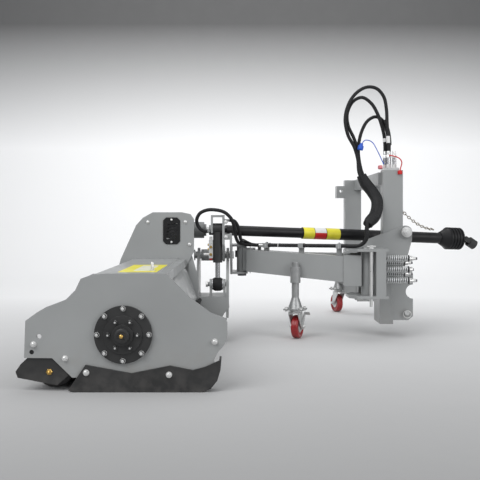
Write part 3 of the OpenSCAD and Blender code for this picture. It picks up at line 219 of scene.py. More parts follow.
wheelRed = makeFinish("wheelRed", (0.30, 0.012, 0.014), 0.38, mottle=0.14, mottleScale=22, grain=0.16,
                      grainScale=500, dust=(0.20, 0.07, 0.06), dustTop=0.03, coat=0.2)
yellowBand = makeFinish("yellowBand", (0.82, 0.74, 0.045), 0.4, **labelFinish)
paleBand = makeFinish("paleBand", (0.78, 0.78, 0.62), 0.4, **labelFinish)
whitePlastic = makeFinish("whitePlastic", (0.80, 0.80, 0.79), 0.42, **{**plasticFinish, "mottle": 0.04})
redPlastic = makeFinish("redPlastic", (0.62, 0.02, 0.02), 0.38, **plasticFinish)
bluePlastic = makeFinish("bluePlastic", (0.02, 0.10, 0.55), 0.38, **plasticFinish)
pinkPlastic = makeFinish("pinkPlastic", (0.72, 0.22, 0.24), 0.42, **plasticFinish)
springGrey = makeFinish("springGrey", (0.70, 0.71, 0.71), 0.34, metallic=0.55, mottle=0.08, mottleScale=40,
                        grain=0.06, rounding=0.0006)
dullZinc = makeFinish("dullZinc", (0.36, 0.365, 0.365), 0.4, metallic=0.5, mottleScale=30,
                      wear=(0.6, 0.6, 0.6), rounding=0.001)
chainZinc = makeFinish("chainZinc", (0.40, 0.36, 0.30), 0.4, metallic=0.7, mottle=0.18, mottleScale=60,
                       grain=0.1)

nodeFinish = {
    greyPaint: "deck_shell deck_mount belt_case carriage swing_arm headstock hitch_plates "
               "swing_bracket parallel_link hose_clamps",
    darkGreyPaint: "gearbox shift_barrel",
    blackPaint: "rotor_bearings skids roller_brackets roller tractor_yoke tilt_barrel",
    blackPlastic: "vent_panel rear_guard front_guard shaft_collar",
    blackRubber: "front_flaps rear_flap drive_belt",
    hoseRubber: "arm_hoses hose_loop_1 hose_loop_2 hose_loop_3 tail_hose_1 tail_hose_2",
    darkSteel: "rotor flail_pins flail_row_1 flail_row_2 flail_row_3 flail_row_4 lower_pulley upper_pulley "
               "rear_pivot_pin spring_rods",
    zinc: "flap_rod input_shaft tilt_shaft near_fork far_fork near_brake swing_pin link_pins couplers",
    turnedSteel: "tilt_rod shift_rod",
    brightZinc: "lock_pin near_springs far_springs valve_block",
    chainZinc: "safety_chain",
    dullZinc: "near_stand far_stand",
    wheelRed: "near_wheel far_wheel",
}
for mat, names in nodeFinish.items():
    for name in names.split():
        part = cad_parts[name]
        part.data.materials.clear()
        part.data.materials.append(mat)
print("materials on the frame's own pieces")


# Helpers that make a finished mesh piece; one without a body stays unattached
pieceSizes = {"sharpAngle": 38, "core": 0.5}


def shadeSmooth(mesh):
    mesh.shade_smooth()
    mesh.set_sharp_from_angle(angle=math.radians(pieceSizes["sharpAngle"]))


def addPiece(name, verts, faces, mat, body, slotName, smooth=True):
    mesh = bpy.data.meshes.new(name)
    mesh.from_pydata([tuple(v) for v in verts], [], faces)
    mesh.validate()
    mesh.materials.append(mat)
    if smooth:
        shadeSmooth(mesh)
    piece = bpy.data.objects.new(name, mesh)
    bpy.context.collection.objects.link(piece)
    if body:
        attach(piece, body)
    return piece


def addParts(name, parts, mat, body, slotName, smooth=True):
    return addPiece(name, *joinParts(parts), mat, body, slotName, smooth)


def sideFrame(direction):
    w = np.array(direction, float) / np.linalg.norm(direction)
    helper = np.array([0, 0, 1.0]) if abs(w[2]) < 0.9 else np.array([1.0, 0, 0])
    u = np.cross(helper, w)
    u /= np.linalg.norm(u)
    return w, u, np.cross(w, u)


# Faces between rings of points; closed rings get a face at both ends as well
def ringFaces(rings, count, closed=True):
    faces = []
    for i in range(rings - 1):
        for k in range(count if closed else count - 1):
            a, b = i * count + k, i * count + (k + 1) % count
            faces.append((a, b, b + count, a + count))
    if closed:
        faces.append(tuple(reversed(range(count))))
        faces.append(tuple((rings - 1) * count + k for k in range(count)))
    return faces


def turned(base, direction, profile, sides, arcFrom=0.0, arcSpan=360.0):
    w, u, v = sideFrame(direction)
    base = np.array(base, float)
    closed = arcSpan >= 360
    count = sides if closed else sides + 1
    angles = [math.radians(arcFrom + arcSpan * k / sides) for k in range(count)]
    verts = [at(base + w * h + (u * math.cos(a) + v * math.sin(a)) * r) for r, h in profile for a in angles]
    return verts, ringFaces(len(profile), count, closed)


# Turned solid from its outer points; its middle closes at the last height, or at a tip
def solid(base, direction, outer, sides, tip=None):
    core = pieceSizes["core"]
    last = outer[-1][1] if tip is None else tip
    return turned(base, direction, [(core, outer[0][1]), *outer, (core, last)], sides)


# Nuts and caps by radius, height of the straight side, radius of the top and whole height
nutShapes = {"axle": (9.5, 6, 8, 8), "hook": (8, 7, 5, 9), "couplerFoot": (13, 18, 11, 20),
             "couplerTop": (12.4, 15, 10.8, 17), "bossWasher": (29, 10, 27, 12.5),
             "boss": (23, 15.5, 20.6, 17.6), "bossEnd": (11.5, 5, 10, 6.5), "tiltPin": (17, 9, 15, 11),
             "valveRear": (7, 5, 5, 7), "valveNear": (8, 6, 6, 8)}


def nut(base, direction, kind, sides=6):
    radius, flat, top, height = nutShapes[kind]
    return solid(base, direction, [(radius, 0), (radius, flat), (top, height)], sides)


def joinParts(parts):
    verts, faces = [], []
    for v, f in parts:
        shift = len(verts)
        verts += list(v)
        faces += [tuple(i + shift for i in face) for face in f]
    return verts, faces


def smoothRoute(points, step):
    p = [np.array(q, float) for q in points]
    p = [2 * p[0] - p[1]] + p + [2 * p[-1] - p[-2]]
    dense = []
    for i in range(1, len(p) - 2):
        n = max(2, int(np.linalg.norm(p[i + 1] - p[i]) / step))
        for k in range(n):
            t = k / n
            dense.append(0.5 * (2 * p[i] + (p[i + 1] - p[i - 1]) * t
                                + (2 * p[i - 1] - 5 * p[i] + 4 * p[i + 1] - p[i + 2]) * t * t
                                + (3 * p[i] - p[i - 1] - 3 * p[i + 1] + p[i + 2]) * t ** 3))
    dense.append(p[-2])
    return dense


def routeLength(points):
    return sum(float(np.linalg.norm(np.array(b) - np.array(a))) for a, b in zip(points, points[1:])) / 1000


def sweep(points, radius, sides):
    p = [np.array(q, float) for q in points]
    ways = [p[min(i + 1, len(p) - 1)] - p[max(i - 1, 0)] for i in range(len(p))]
    w, u, v = sideFrame(ways[0])
    verts = []
    for i, q in enumerate(p):
        w = ways[i] / np.linalg.norm(ways[i])
        u = u - w * np.dot(u, w)
        u /= np.linalg.norm(u)
        v = np.cross(w, u)
        r = radius(i / (len(p) - 1)) if callable(radius) else radius
        for k in range(sides):
            a = 2 * math.pi * k / sides
            verts.append(at(q + (u * math.cos(a) + v * math.sin(a)) * r))
    return verts, ringFaces(len(p), sides)


def ringTube(centre, direction, ringRadius, wire, sides=8, turns=28):
    w, u, v = sideFrame(direction)
    centre = np.array(centre, float)
    verts, faces = [], []
    for i in range(turns):
        a = 2 * math.pi * i / turns
        out = u * math.cos(a) + v * math.sin(a)
        for k in range(sides):
            b = 2 * math.pi * k / sides
            verts.append(at(centre + out * (ringRadius + wire * math.cos(b)) + w * wire * math.sin(b)))
    total = turns * sides
    for i in range(0, total, sides):
        for k in range(sides):
            a, b = i + k, i + (k + 1) % sides
            faces.append((a, (a + sides) % total, (b + sides) % total, b))
    return verts, faces


def slab(low, high, bevel):
    x0, y0, z0 = low
    x1, y1, z1 = high
    b = min(bevel, (x1 - x0) / 3, (y1 - y0) / 3, (z1 - z0) / 3)
    verts = []
    for z, inset in ((z0, b), (z0 + b, 0), (z1 - b, 0), (z1, b)):
        a, c, d, e = x0 + inset, x1 - inset, y0 + inset, y1 - inset
        verts += ats([(a + b, d, z), (c - b, d, z), (c, d + b, z), (c, e - b, z),
                      (c - b, e, z), (a + b, e, z), (a, e - b, z), (a, d + b, z)])
    return verts, ringFaces(4, 8)


# Free hoses, on the routes of the frame's own solids
armSizes = {"pivot": (688, 1130), "turn": -16.5, "hoseTop": 508, "hoseEnd": 600, "gap": 22, "bend": 60,
            "hose": 9.5}
hoseSizes = {"diameter": 0.019, "sides": 14, "step": 9, "bendFrom": 1, "bendTo": 6}


def onArm(along, side, z):
    a = math.radians(armSizes["turn"])
    return (armSizes["pivot"][0] + along * math.cos(a) - side * math.sin(a),
            armSizes["pivot"][1] + along * math.sin(a) + side * math.cos(a), z)


def armEnd(i, out):
    return onArm(-armSizes["hoseEnd"] - out, (i - 1) * armSizes["gap"], armSizes["hoseTop"])


hoseRoutes = {
    "hose_loop_1": [
        (832, 1262, 1037.3), (832, 1262, 1066), (830, 1262, 1120), (825, 1262, 1190), (822, 1264, 1270),
        (808, 1266, 1340), (768, 1268, 1388), (710, 1270, 1396), (650, 1270, 1360), (608, 1270, 1295),
        (591, 1270, 1215), (606, 1270, 1130), (642, 1270, 1060), (662, 1270, 990), (668, 1268, 920),
        (690, 1262, 865), (724, 1250, 815), (746, 1230, 765), (740, 1198, 718), (714, 1160, 682),
        (692, 1124, 648), onArm(0, -22, 606), onArm(0, -22, 580.3)],
    "hose_loop_2": [
        (818, 1284, 1037.3), (818, 1284, 1064), (814, 1284, 1120), (799, 1285, 1185), (776, 1287, 1250),
        (742, 1289, 1308), (690, 1290, 1342), (636, 1290, 1316), (606, 1290, 1250), (612, 1290, 1180),
        (642, 1290, 1115), (664, 1290, 1050), (672, 1290, 985), (680, 1288, 920), (704, 1282, 862),
        (740, 1270, 812), (764, 1250, 764), (760, 1222, 712), (738, 1186, 668), (704, 1146, 640),
        onArm(0, 0, 606), onArm(0, 0, 580.3)],
    "hose_loop_3": [
        (846, 1306, 1037.3), (846, 1306, 1066), (845, 1306, 1104), (836, 1308, 1160), (812, 1309, 1212),
        (770, 1310, 1236), (724, 1310, 1212), (694, 1310, 1160), (677, 1310, 1100), (672, 1310, 1040),
        (678, 1310, 980), (692, 1308, 920), (716, 1302, 862), (752, 1290, 812), (780, 1272, 760),
        (784, 1246, 705), (764, 1212, 655), (724, 1170, 625), onArm(0, 22, 606), onArm(0, 22, 580.3)],
    "tail_hose_1": [
        armEnd(0, 0.3), armEnd(0, 24), (58, 1284, 510), (32, 1266, 512), (6, 1240, 518), (-10, 1212, 528),
        (-20, 1182, 548), (-26, 1146, 570), (-30, 1108, 592), (-34, 1078, 626), (-50, 1068, 662),
        (-84, 1072, 692), (-128, 1077, 704), (-174, 1084, 704), (-215, 1092, 686), (-233, 1100, 649),
        (-222, 1106, 612), (-196, 1108, 590), (-175.8, 1108, 590)],
    "tail_hose_2": [
        armEnd(1, 0.3), armEnd(1, 24), (64, 1308, 512), (42, 1299, 522), (26, 1280, 531), (17, 1250, 536),
        (12, 1216, 536), (6, 1182, 541), (0, 1152, 562), (-5, 1134, 592), (-14, 1120, 622),
        (-28, 1111, 643), (-42, 1108, 648), (-56, 1108, 648)],
}
for name, route in hoseRoutes.items():
    crossing = name.startswith("tail")
    dense = smoothRoute(route, hoseSizes["step"])
    tube = sweep(dense, hoseSizes["diameter"] * 1000 / 2, hoseSizes["sides"])
    hose = addPiece(name + "_rubber", *tube, hoseRubber, None if crossing else "headstock", "hose_rubber")
    if crossing:
        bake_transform(hose)
    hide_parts(name)
print("free hoses")


# Geometry Nodes trees, one for each thing that repeats
def newTree(name, inputs):
    tree = bpy.data.node_groups.new(name, "GeometryNodeTree")
    tree.interface.new_socket("Geometry", in_out="INPUT", socket_type="NodeSocketGeometry")
    for label, kind in inputs.items():
        tree.interface.new_socket(label, in_out="INPUT", socket_type="NodeSocket" + kind)
    tree.interface.new_socket("Geometry", in_out="OUTPUT", socket_type="NodeSocketGeometry")
    start = tree.nodes.new("NodeGroupInput")
    return tree, *start.outputs[:len(inputs) + 1]


def closeTree(tree, points, instance, turn, material):
    placed = node(tree, "GeometryNodeInstanceOnPoints", Points=points, Instance=instance, Rotation=turn)
    real = node(tree, "GeometryNodeRealizeInstances", Geometry=placed.outputs[0])
    painted = node(tree, "GeometryNodeSetMaterial", Geometry=real.outputs[0], Material=material)
    link(tree, painted.outputs[0], tree.nodes.new("NodeGroupOutput").inputs[0])
    return tree


def scaled(tree, value, share):
    return maths(tree, "MULTIPLY", value, share)


# A curve through the mesh's points at even steps, and the turn that follows it
def evenSteps(tree, mesh, spacing):
    line = node(tree, "GeometryNodeMeshToCurve", Mesh=mesh)
    spaced = tree.nodes.new("GeometryNodeResampleCurve")
    spaced.mode = "LENGTH"
    link(tree, line.outputs[0], spaced.inputs["Curve"])
    link(tree, spacing, spaced.inputs["Length"])
    tangent = tree.nodes.new("GeometryNodeInputTangent")
    along = node(tree, "FunctionNodeAlignRotationToVector", Vector=tangent.outputs[0])
    along.axis = "Z"
    return spaced.outputs[0], along.outputs[0]


def wireTube(tree, curve, wire, sides):
    rim = node(tree, "GeometryNodeCurvePrimitiveCircle", Resolution=sides, Radius=wire)
    return node(tree, "GeometryNodeCurveToMesh", Curve=curve, Profile_Curve=rim.outputs[0])


# Washer, head and crown, each a share of the head's radius and height
def boltTree():
    tree, points, radius, height, corners, turn, material = newTree("boltSet", {
        "Head radius": "Float", "Head height": "Float", "Corners": "Int", "Turn": "Rotation",
        "Finish": "Material"})
    join = tree.nodes.new("GeometryNodeJoinGeometry")
    for count, bottom, top, depth, lift in ((28, 1.28, 1.2, 0.24, 0), (corners, 1.0, 1.0, 0.86, 0.2),
                                            (24, 0.86, 0.6, 0.18, 1.05)):
        cone = node(tree, "GeometryNodeMeshCone", Vertices=count, Radius_Bottom=scaled(tree, radius, bottom),
                    Radius_Top=scaled(tree, radius, top), Depth=scaled(tree, height, depth))
        rise = node(tree, "ShaderNodeCombineXYZ", Z=scaled(tree, height, lift))
        raised = node(tree, "GeometryNodeTransform", Geometry=cone.outputs[0], Translation=rise.outputs[0])
        link(tree, raised.outputs[0], join.inputs[0])
    return closeTree(tree, points, join.outputs[0], turn, material)


def coilTree():
    tree, points, coils, radius, wire, length, turn, material = newTree("springSet", {
        "Coils": "Float", "Coil radius": "Float", "Wire radius": "Float", "Length": "Float",
        "Turn": "Rotation", "Finish": "Material"})
    spiral = node(tree, "GeometryNodeCurveSpiral", Resolution=22, Rotations=coils, Height=length,
                  Start_Radius=radius, End_Radius=radius)
    coil = wireTube(tree, spiral.outputs[0], wire, 10)
    coil.inputs["Fill Caps"].default_value = True
    return closeTree(tree, points, coil.outputs[0], turn, material)


# Oval links, every second one turned by a quarter
def chainTree():
    tree, points, length, width, wire, pitch, material = newTree("chainLinks", {
        "Link length": "Float", "Link width": "Float", "Wire radius": "Float", "Pitch": "Float",
        "Finish": "Material"})
    spaced, along = evenSteps(tree, points, pitch)
    loop = node(tree, "GeometryNodeCurvePrimitiveCircle", Resolution=18, Radius=0.5)
    size = node(tree, "ShaderNodeCombineXYZ", X=width, Y=length, Z=1)
    oval = node(tree, "GeometryNodeTransform", Geometry=loop.outputs[0], Scale=size.outputs[0])
    stand = node(tree, "GeometryNodeTransform", Geometry=oval.outputs[0], Rotation=(math.pi / 2, 0, 0))
    index = tree.nodes.new("GeometryNodeInputIndex").outputs[0]
    quarter = scaled(tree, maths(tree, "MODULO", index, 2.0), math.pi / 2)
    spin = node(tree, "FunctionNodeAxisAngleToRotation", Axis=up, Angle=quarter)
    both = node(tree, "FunctionNodeRotateRotation", Rotation=along, Rotate_By=spin.outputs[0])
    both.rotation_space = "LOCAL"
    ring = wireTube(tree, stand.outputs[0], wire, 8)
    return closeTree(tree, spaced, ring.outputs[0], both.outputs[0], material)


def beadTree():
    tree, points, spacing, radius, material = newTree("weldBead", {
        "Spacing": "Float", "Bead radius": "Float", "Finish": "Material"})
    spaced, along = evenSteps(tree, points, spacing)
    drop = node(tree, "GeometryNodeMeshIcoSphere", Subdivisions=2, Radius=radius)
    flat = node(tree, "GeometryNodeTransform", Geometry=drop.outputs[0], Scale=(1.0, 1.0, 0.62))
    return closeTree(tree, spaced, flat.outputs[0], along, material)


trees = {"bolt": boltTree(), "coil": coilTree(), "chain": chainTree(), "bead": beadTree()}
facing = {toNear: (math.pi / 2, 0, 0), toFar: (-math.pi / 2, 0, 0), ahead: (0, math.pi / 2, 0),
          up: (0, 0, 0), down: (math.pi, 0, 0)}


def grown(name, kind, points, edges, values, body):
    mesh = bpy.data.meshes.new(name)
    mesh.from_pydata(ats(points), edges, [])
    piece = bpy.data.objects.new(name, mesh)
    bpy.context.collection.objects.link(piece)
    grow = piece.modifiers.new("grow", "NODES")
    grow.node_group = trees[kind]
    sockets = {s.name: s.identifier for s in trees[kind].interface.items_tree if s.in_out == "INPUT"}
    for label, value in values.items():
        grow[sockets[label]] = value
    bpy.context.view_layer.update()
    graph = bpy.context.evaluated_depsgraph_get()
    plain = bpy.data.meshes.new_from_object(piece.evaluated_get(graph), depsgraph=graph)
    piece.modifiers.clear()
    piece.data = plain
    plain.name = name
    shadeSmooth(plain)
    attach(piece, body)
    return piece


# Radius and height of each kind of bolt head
boltHeads = {"flange": (8.6, 9.5), "cap": (6.2, 9), "skid": (9.6, 10.4), "side": (9.6, 10.6),
             "plate": (7.5, 7.5), "rivet": (4.6, 4), "pad": (7.5, 8), "padNut": (7, 6), "case": (8, 7),
             "gearbox": (7.5, 7), "carriage": (8, 7)}


def bolts(name, body, way, kind, points, corners=6):
    radius, height = boltHeads[kind]
    values = {"Head radius": radius / 1000, "Head height": height / 1000, "Corners": corners,
              "Turn": facing[way], "Finish": brightZinc}
    return grown(name, "bolt", points, [], values, body)


def weld(name, body, lines, radius):
    points = [p for line in lines for p in line]
    edges, count = [], 0
    for line in lines:
        edges += [(count + i, count + i + 1) for i in range(len(line) - 1)]
        count += len(line)
    values = {"Spacing": radius * 0.9 / 1000, "Bead radius": radius / 1000, "Finish": greyPaint}
    return grown(name, "bead", points, edges, values, body)


def around(centre, radius, count, start=0.0):
    x, y, z = centre
    angles = [math.radians(start + 360 * k / count) for k in range(count)]
    return [(x + radius * math.cos(a), y, z + radius * math.sin(a)) for a in angles]


# Deck: bolts, grease nipples, the rotor's cap, plain bands, a post and welds
deckSizes = {"rotor": (-443, 219), "outerRing": 99, "innerRing": 56, "flangeFace": -12, "capFace": -18,
             "nippleFace": -56, "hubFace": -46, "skidFaces": (-8, 1095), "sideFaces": (0, 1087),
             "plateFace": 1079, "panelFace": 1072, "weldFaces": (10, 1077),
             "plateNipple": (-726, 9, 75), "post": (-359, 205, 444),
             "deckBand": [(-488, 130, 444.6), (-333, 560, 445.8), 0.5],
             "deckBandMiddle": [(-436, 190, 444.9), (-366, 500, 446.3), 0.5],
             "skid": [(-583, 75), (-269, 67)], "side": [(-785, 181), (-665, 128), (-96, 191)],
             "plate": [(-493, 640), (-292, 640), (-270, 520)], "panel": [(-365.5, 652), (-365.5, 533)],
             "seams": [[(-560, 446), (-330, 446)], [(-330, 446), (-283, 373), (-231, 236)],
                       [(-560, 446), (-600, 427), (-641, 346)]]}
rotorX, rotorZ = deckSizes["rotor"]


def onFace(face, places):
    return [(x, face, z) for x, z in places]


flangeRing = around((rotorX, deckSizes["flangeFace"], rotorZ), deckSizes["outerRing"], 8)
capRing = around((rotorX, deckSizes["capFace"], rotorZ), deckSizes["innerRing"], 6)
bolts("flangeBolts", "deck", toNear, "flange", flangeRing)
bolts("capBolts", "deck", toNear, "cap", capRing)
for kind in ("skid", "side"):
    nearFace, farFace = deckSizes[kind + "Faces"]
    bolts(kind + "Bolts", "deck", toNear, kind, onFace(nearFace, deckSizes[kind]))
    bolts(kind + "BoltsFar", "deck", toFar, kind, onFace(farFace, deckSizes[kind]))
bolts("plateBolts", "deck", toNear, "plate", onFace(deckSizes["plateFace"], deckSizes["plate"]))
bolts("panelRivets", "deck", toNear, "rivet", onFace(deckSizes["panelFace"], deckSizes["panel"]), 20)
deckOutlines = {"rotorNipple": [(7.2, -6), (7.2, 0), (5, 1.5), (3.4, 3), (3.4, 5)],
                "plateNipple": [(13, 0), (13, 6), (10, 9), (6, 10), (5, 15)],
                "hub": [(27.4, -4), (27.4, 1), (25, 2.6), (17, 2.8), (16, 1)],
                "post": [(14, 0), (14, 4), (6.5, 5), (6.5, 34), (4.5, 37)]}
nipples = [solid((rotorX, deckSizes["nippleFace"], rotorZ), toNear, deckOutlines["rotorNipple"], 16, 6),
           solid(deckSizes["plateNipple"], toNear, deckOutlines["plateNipple"], 6, 17)]
addParts("greaseNipples", nipples, brass, "deck", "zinc", False)
hubCap = solid((rotorX, deckSizes["hubFace"], rotorZ), toNear, deckOutlines["hub"], 40)
addPiece("hubCap", *hubCap, blackPaint, "deck", "black_paint")
for name, mat in (("deckBand", yellowBand), ("deckBandMiddle", paleBand)):
    addPiece(name, *slab(*deckSizes[name]), mat, "deck", "grey_paint", False)
addPiece("deckPost", *solid(deckSizes["post"], up, deckOutlines["post"], 20), brightZinc, "deck", "zinc")
deckSeams = [onFace(face, seam) for seam in deckSizes["seams"] for face in deckSizes["weldFaces"]]
weld("deckWelds", "deck", deckSeams, 3.0)
print("deck details")

# Rubber flaps that hang in front of and behind the rotor
flapSizes = {"front": [(-217, -211), (74, 224)], "frontCount": 4, "frontY": (12, 1075), "gap": 5,
             "rear": [(-652, -646), (112, 255)], "rearY": (20, 1067), "ripple": 1.2, "wave": 9.45,
             "steps": 36, "rows": 8, "knuckle": 9.8, "rod": (-214, 224)}


def rubberSheet(xs, ys, zs, phase):
    steps, rows = flapSizes["steps"], flapSizes["rows"]
    verts, faces = [], []
    thick = (xs[1] - xs[0]) / 2 - flapSizes["ripple"]
    middle = (xs[0] + xs[1]) / 2
    for side in (-1, 1):
        for j in range(rows + 1):
            z = zs[0] + (zs[1] - zs[0]) * j / rows
            loose = 1 - j / rows
            for i in range(steps + 1):
                t = i / steps
                ripple = flapSizes["ripple"] * loose * math.sin(flapSizes["wave"] * t + phase)
                verts.append(at((middle + side * thick + ripple, ys[0] + (ys[1] - ys[0]) * t, z)))
    row, sheet = steps + 1, (steps + 1) * (rows + 1)
    for j in range(rows):
        for i in range(steps):
            a = j * row + i
            faces.append((a, a + row, a + row + 1, a + 1))
            faces.append((sheet + a, sheet + a + 1, sheet + a + row + 1, sheet + a + row))
    rim = list(range(row)) + [j * row + steps for j in range(1, rows + 1)]
    rim += [rows * row + i for i in range(steps - 1, -1, -1)] + [j * row for j in range(rows - 1, 0, -1)]
    for a, b in zip(rim, rim[1:] + rim[:1]):
        faces.append((a, b, sheet + b, sheet + a))
    return verts, faces


frontPitch = (flapSizes["frontY"][1] - flapSizes["frontY"][0]) / flapSizes["frontCount"]
frontWidth = frontPitch - flapSizes["gap"]
knuckle = flapSizes["knuckle"]
knuckleOutline = [(knuckle - 1, 0), (knuckle, 1), (knuckle, frontWidth - 1), (knuckle - 1, frontWidth)]
frontParts = []
for i in range(flapSizes["frontCount"]):
    low = flapSizes["frontY"][0] + frontPitch * i + flapSizes["gap"] / 2
    frontParts.append(rubberSheet(flapSizes["front"][0], (low, low + frontWidth), flapSizes["front"][1], i))
    frontParts.append(solid((flapSizes["rod"][0], low, flapSizes["rod"][1]), toFar, knuckleOutline, 24))
frontFlaps = addParts("frontFlapRubber", frontParts, blackRubber, "front_flaps", "black_rubber")
rearSheet = rubberSheet(flapSizes["rear"][0], flapSizes["rearY"], flapSizes["rear"][1], 1.0)
rearFlap = addPiece("rearFlapRubber", *rearSheet, blackRubber, "deck", "black_rubber")
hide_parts("front_flaps")
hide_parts("rear_flap")
print("flaps")

# Swing arm: hoses along its top, clips over them, a tie and the welds of its near side
armHoseSizes = {"straight": (599, 400, 200), "bendSteps": 10, "upEnd": 579.5, "clipAt": (560, 150),
                "clipWire": 4, "clipSide": 38, "clipFoot": 493, "clipRise": 30, "clipRound": 0.6,
                "clipSteps": 12, "tieAt": 488, "tieWire": 1.6,
                "tie": [(-34, 497), (-33, 511), (-24, 518), (0, 518.5), (24, 518), (33, 511), (34, 497)],
                "sleeve": [(9.7, 0), (10.7, 0), (10.7, 26), (9.7, 27)],
                "seams": [(-118, -51, 302, 492), (-24, -51, 302, 492), (-645, -44, 352, 500)]}


def armHose(i):
    side = (i - 1) * armSizes["gap"]
    top, bend, steps = armSizes["hoseTop"], armSizes["bend"], armHoseSizes["bendSteps"]
    route = [onArm(-along, side, top) for along in armHoseSizes["straight"]]
    for k in range(steps + 1):
        a = math.pi / 2 * k / steps
        route.append(onArm(-bend + bend * math.sin(a), side, top + bend - bend * math.cos(a)))
    route.append(onArm(0, side, armHoseSizes["upEnd"]))
    return sweep(route, armSizes["hose"], 16)


def armClip(along):
    arch = []
    for k in range(armHoseSizes["clipSteps"] + 1):
        a = math.pi * k / armHoseSizes["clipSteps"]
        rise = armHoseSizes["clipRise"] * math.sin(a) ** armHoseSizes["clipRound"]
        arch.append(onArm(-along, armHoseSizes["clipSide"] * math.cos(a), armHoseSizes["clipFoot"] + rise))
    return sweep(arch, armHoseSizes["clipWire"], 10)


armHoses = addParts("armHoseRubber", [armHose(i) for i in range(3)], hoseRubber, "arm", "hose_rubber")
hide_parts("arm_hoses")
addParts("armClips", [armClip(along) for along in armHoseSizes["clipAt"]], greyPaint, "arm", "grey_paint")
tie = [onArm(-armHoseSizes["tieAt"], side, z) for side, z in armHoseSizes["tie"]]
addPiece("armTie", *sweep(tie, armHoseSizes["tieWire"], 8), whitePlastic, "arm", "black_plastic")
backAlong = onArm(-1, 0, 0) - np.array(onArm(0, 0, 0))
sleeves = [turned(armEnd(i, -28), backAlong, armHoseSizes["sleeve"], 24) for i in range(3)]
addParts("armHoseSleeves", sleeves, zinc, "arm", "zinc")
armSeams = [[onArm(along, side, low), onArm(along, side, high)]
            for along, side, low, high in armHoseSizes["seams"]]
weld("armWelds", "arm", armSeams, 2.8)

# Breakaway springs on their rods, with the nuts that load them
springSizes = {"seat": 775, "length": 126, "middle": 16, "wire": 3, "coils": 11, "travel": 18,
               "near": [(1085, 444), (1085, 385), (1085, 326)], "far": [(1185, 415), (1185, 355)],
               "tip": 948, "shortRod": 385, "shortTip": 930, "thread": 24,
               "nut": [(8.2, 1), (18.8, 1), (18.8, 4), (14, 7), (13, 20), (11, 24), (8.2, 24)]}


def springPack(name, spots, nodeName):
    pack = grown(name, "coil", [(springSizes["seat"], y, z) for y, z in spots], [],
                 {"Coils": float(springSizes["coils"]), "Coil radius": springSizes["middle"] / 1000,
                  "Wire radius": springSizes["wire"] / 1000, "Length": springSizes["length"] / 1000,
                  "Turn": facing[ahead], "Finish": springGrey}, "headstock")
    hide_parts(nodeName)
    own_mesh(pack)


springPack("nearSpringCoils", springSizes["near"], "near_springs")
springPack("farSpringCoils", springSizes["far"], "far_springs")
threads = [(9.4 if k % 2 == 0 else 8.6, 3 + 1.5 * k) for k in range(9)]
threads = [(8.1, 0), (9.4, 0)] + threads + [(8.2, 16)]
springEnd = springSizes["seat"] + springSizes["length"] - 1
nutParts = []
for y, z in springSizes["near"] + springSizes["far"]:
    tip = springSizes["shortTip"] if z == springSizes["shortRod"] else springSizes["tip"]
    nutParts.append(turned((springEnd, y, z), ahead, springSizes["nut"], 24))
    nutParts.append(turned((tip - springSizes["thread"], y, z), ahead, threads, 20))
addParts("springNuts", nutParts, brightZinc, "breakaway", "zinc")
print("springs")

# Support wheels: grooved red tyre on a zinc hub, with the bolts of its stand
wheelSizes = {"radius": 64, "width": 40, "round": 9, "groove": 1.2, "trail": 36, "pad": (42, 34),
              "padTop": 168, "padUnder": 160, "axleEnd": 35.2,
              "near": {"centre": (315.8, 1192.1, 64), "turn": -22},
              "far": {"centre": (682.9, 2277.7, 64), "turn": 18}}


def axleWay(place):
    turn = math.radians(place["turn"])
    return np.array([math.cos(turn), math.sin(turn), 0])


def wheelParts(place):
    way = axleWay(place)
    base = np.array(place["centre"]) - way * wheelSizes["width"] / 2
    r, w, e = wheelSizes["radius"], wheelSizes["width"], wheelSizes["round"]
    low = r - wheelSizes["groove"]
    half = [(21, 4), (34, 4), (44, 6), (50, 1)]
    for a in range(0, 91, 15):
        half.append((r - e + e * math.sin(math.radians(a)), e - e * math.cos(math.radians(a))))
    groove = [(r, w / 2 - 3), (low, w / 2 - 1.5), (low, w / 2 + 1.5), (r, w / 2 + 3)]
    tyre = half + groove + [(q, w - h) for q, h in reversed(half)]
    hub = [(6.4, -2), (18, -2), (21.5, 0), (21.5, w), (18, w + 2), (6.4, w + 2)]
    face = [solid(base + way * h, way * s, [(31, 0), (33, 1.2), (31, 2.6), (24, 3.2)], 36, 3.4)
            for h, s in ((4, -1), (w - 4, 1))]
    return turned(base, way, tyre, 72), joinParts([turned(base, way, hub, 36)] + face)


def standPlaces(place, height):
    way = axleWay(place)
    side = np.array([-way[1], way[0], 0])
    post = np.array(place["centre"]) - side * wheelSizes["trail"]
    across, along = wheelSizes["pad"]
    spots = [post + way * across * sx + side * along * sy for sx in (-1, 1) for sy in (-1, 1)]
    return [(x, y, height) for x, y, z in spots]


for side, body in (("near", "arm"), ("far", "headstock")):
    place = wheelSizes[side]
    way = axleWay(place)
    bolts(side + "PadBolts", body, up, "pad", standPlaces(place, wheelSizes["padTop"]))
    bolts(side + "PadNuts", body, down, "padNut", standPlaces(place, wheelSizes["padUnder"]))
    axleNuts = [nut(np.array(place["centre"]) + way * s * wheelSizes["axleEnd"], way * s, "axle")
                for s in (-1, 1)]
    addParts(side + "AxleNuts", axleNuts, brightZinc, side + "_fork", "zinc")
    tyre, hub = wheelParts(place)
    rubber = addPiece(side + "Tyre", *tyre, wheelRed, side + "_wheel", "red_tyre")
    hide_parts(side + "_wheel")
    addPiece(side + "Hub", *hub, zinc, side + "_wheel", "zinc")
print("wheels")

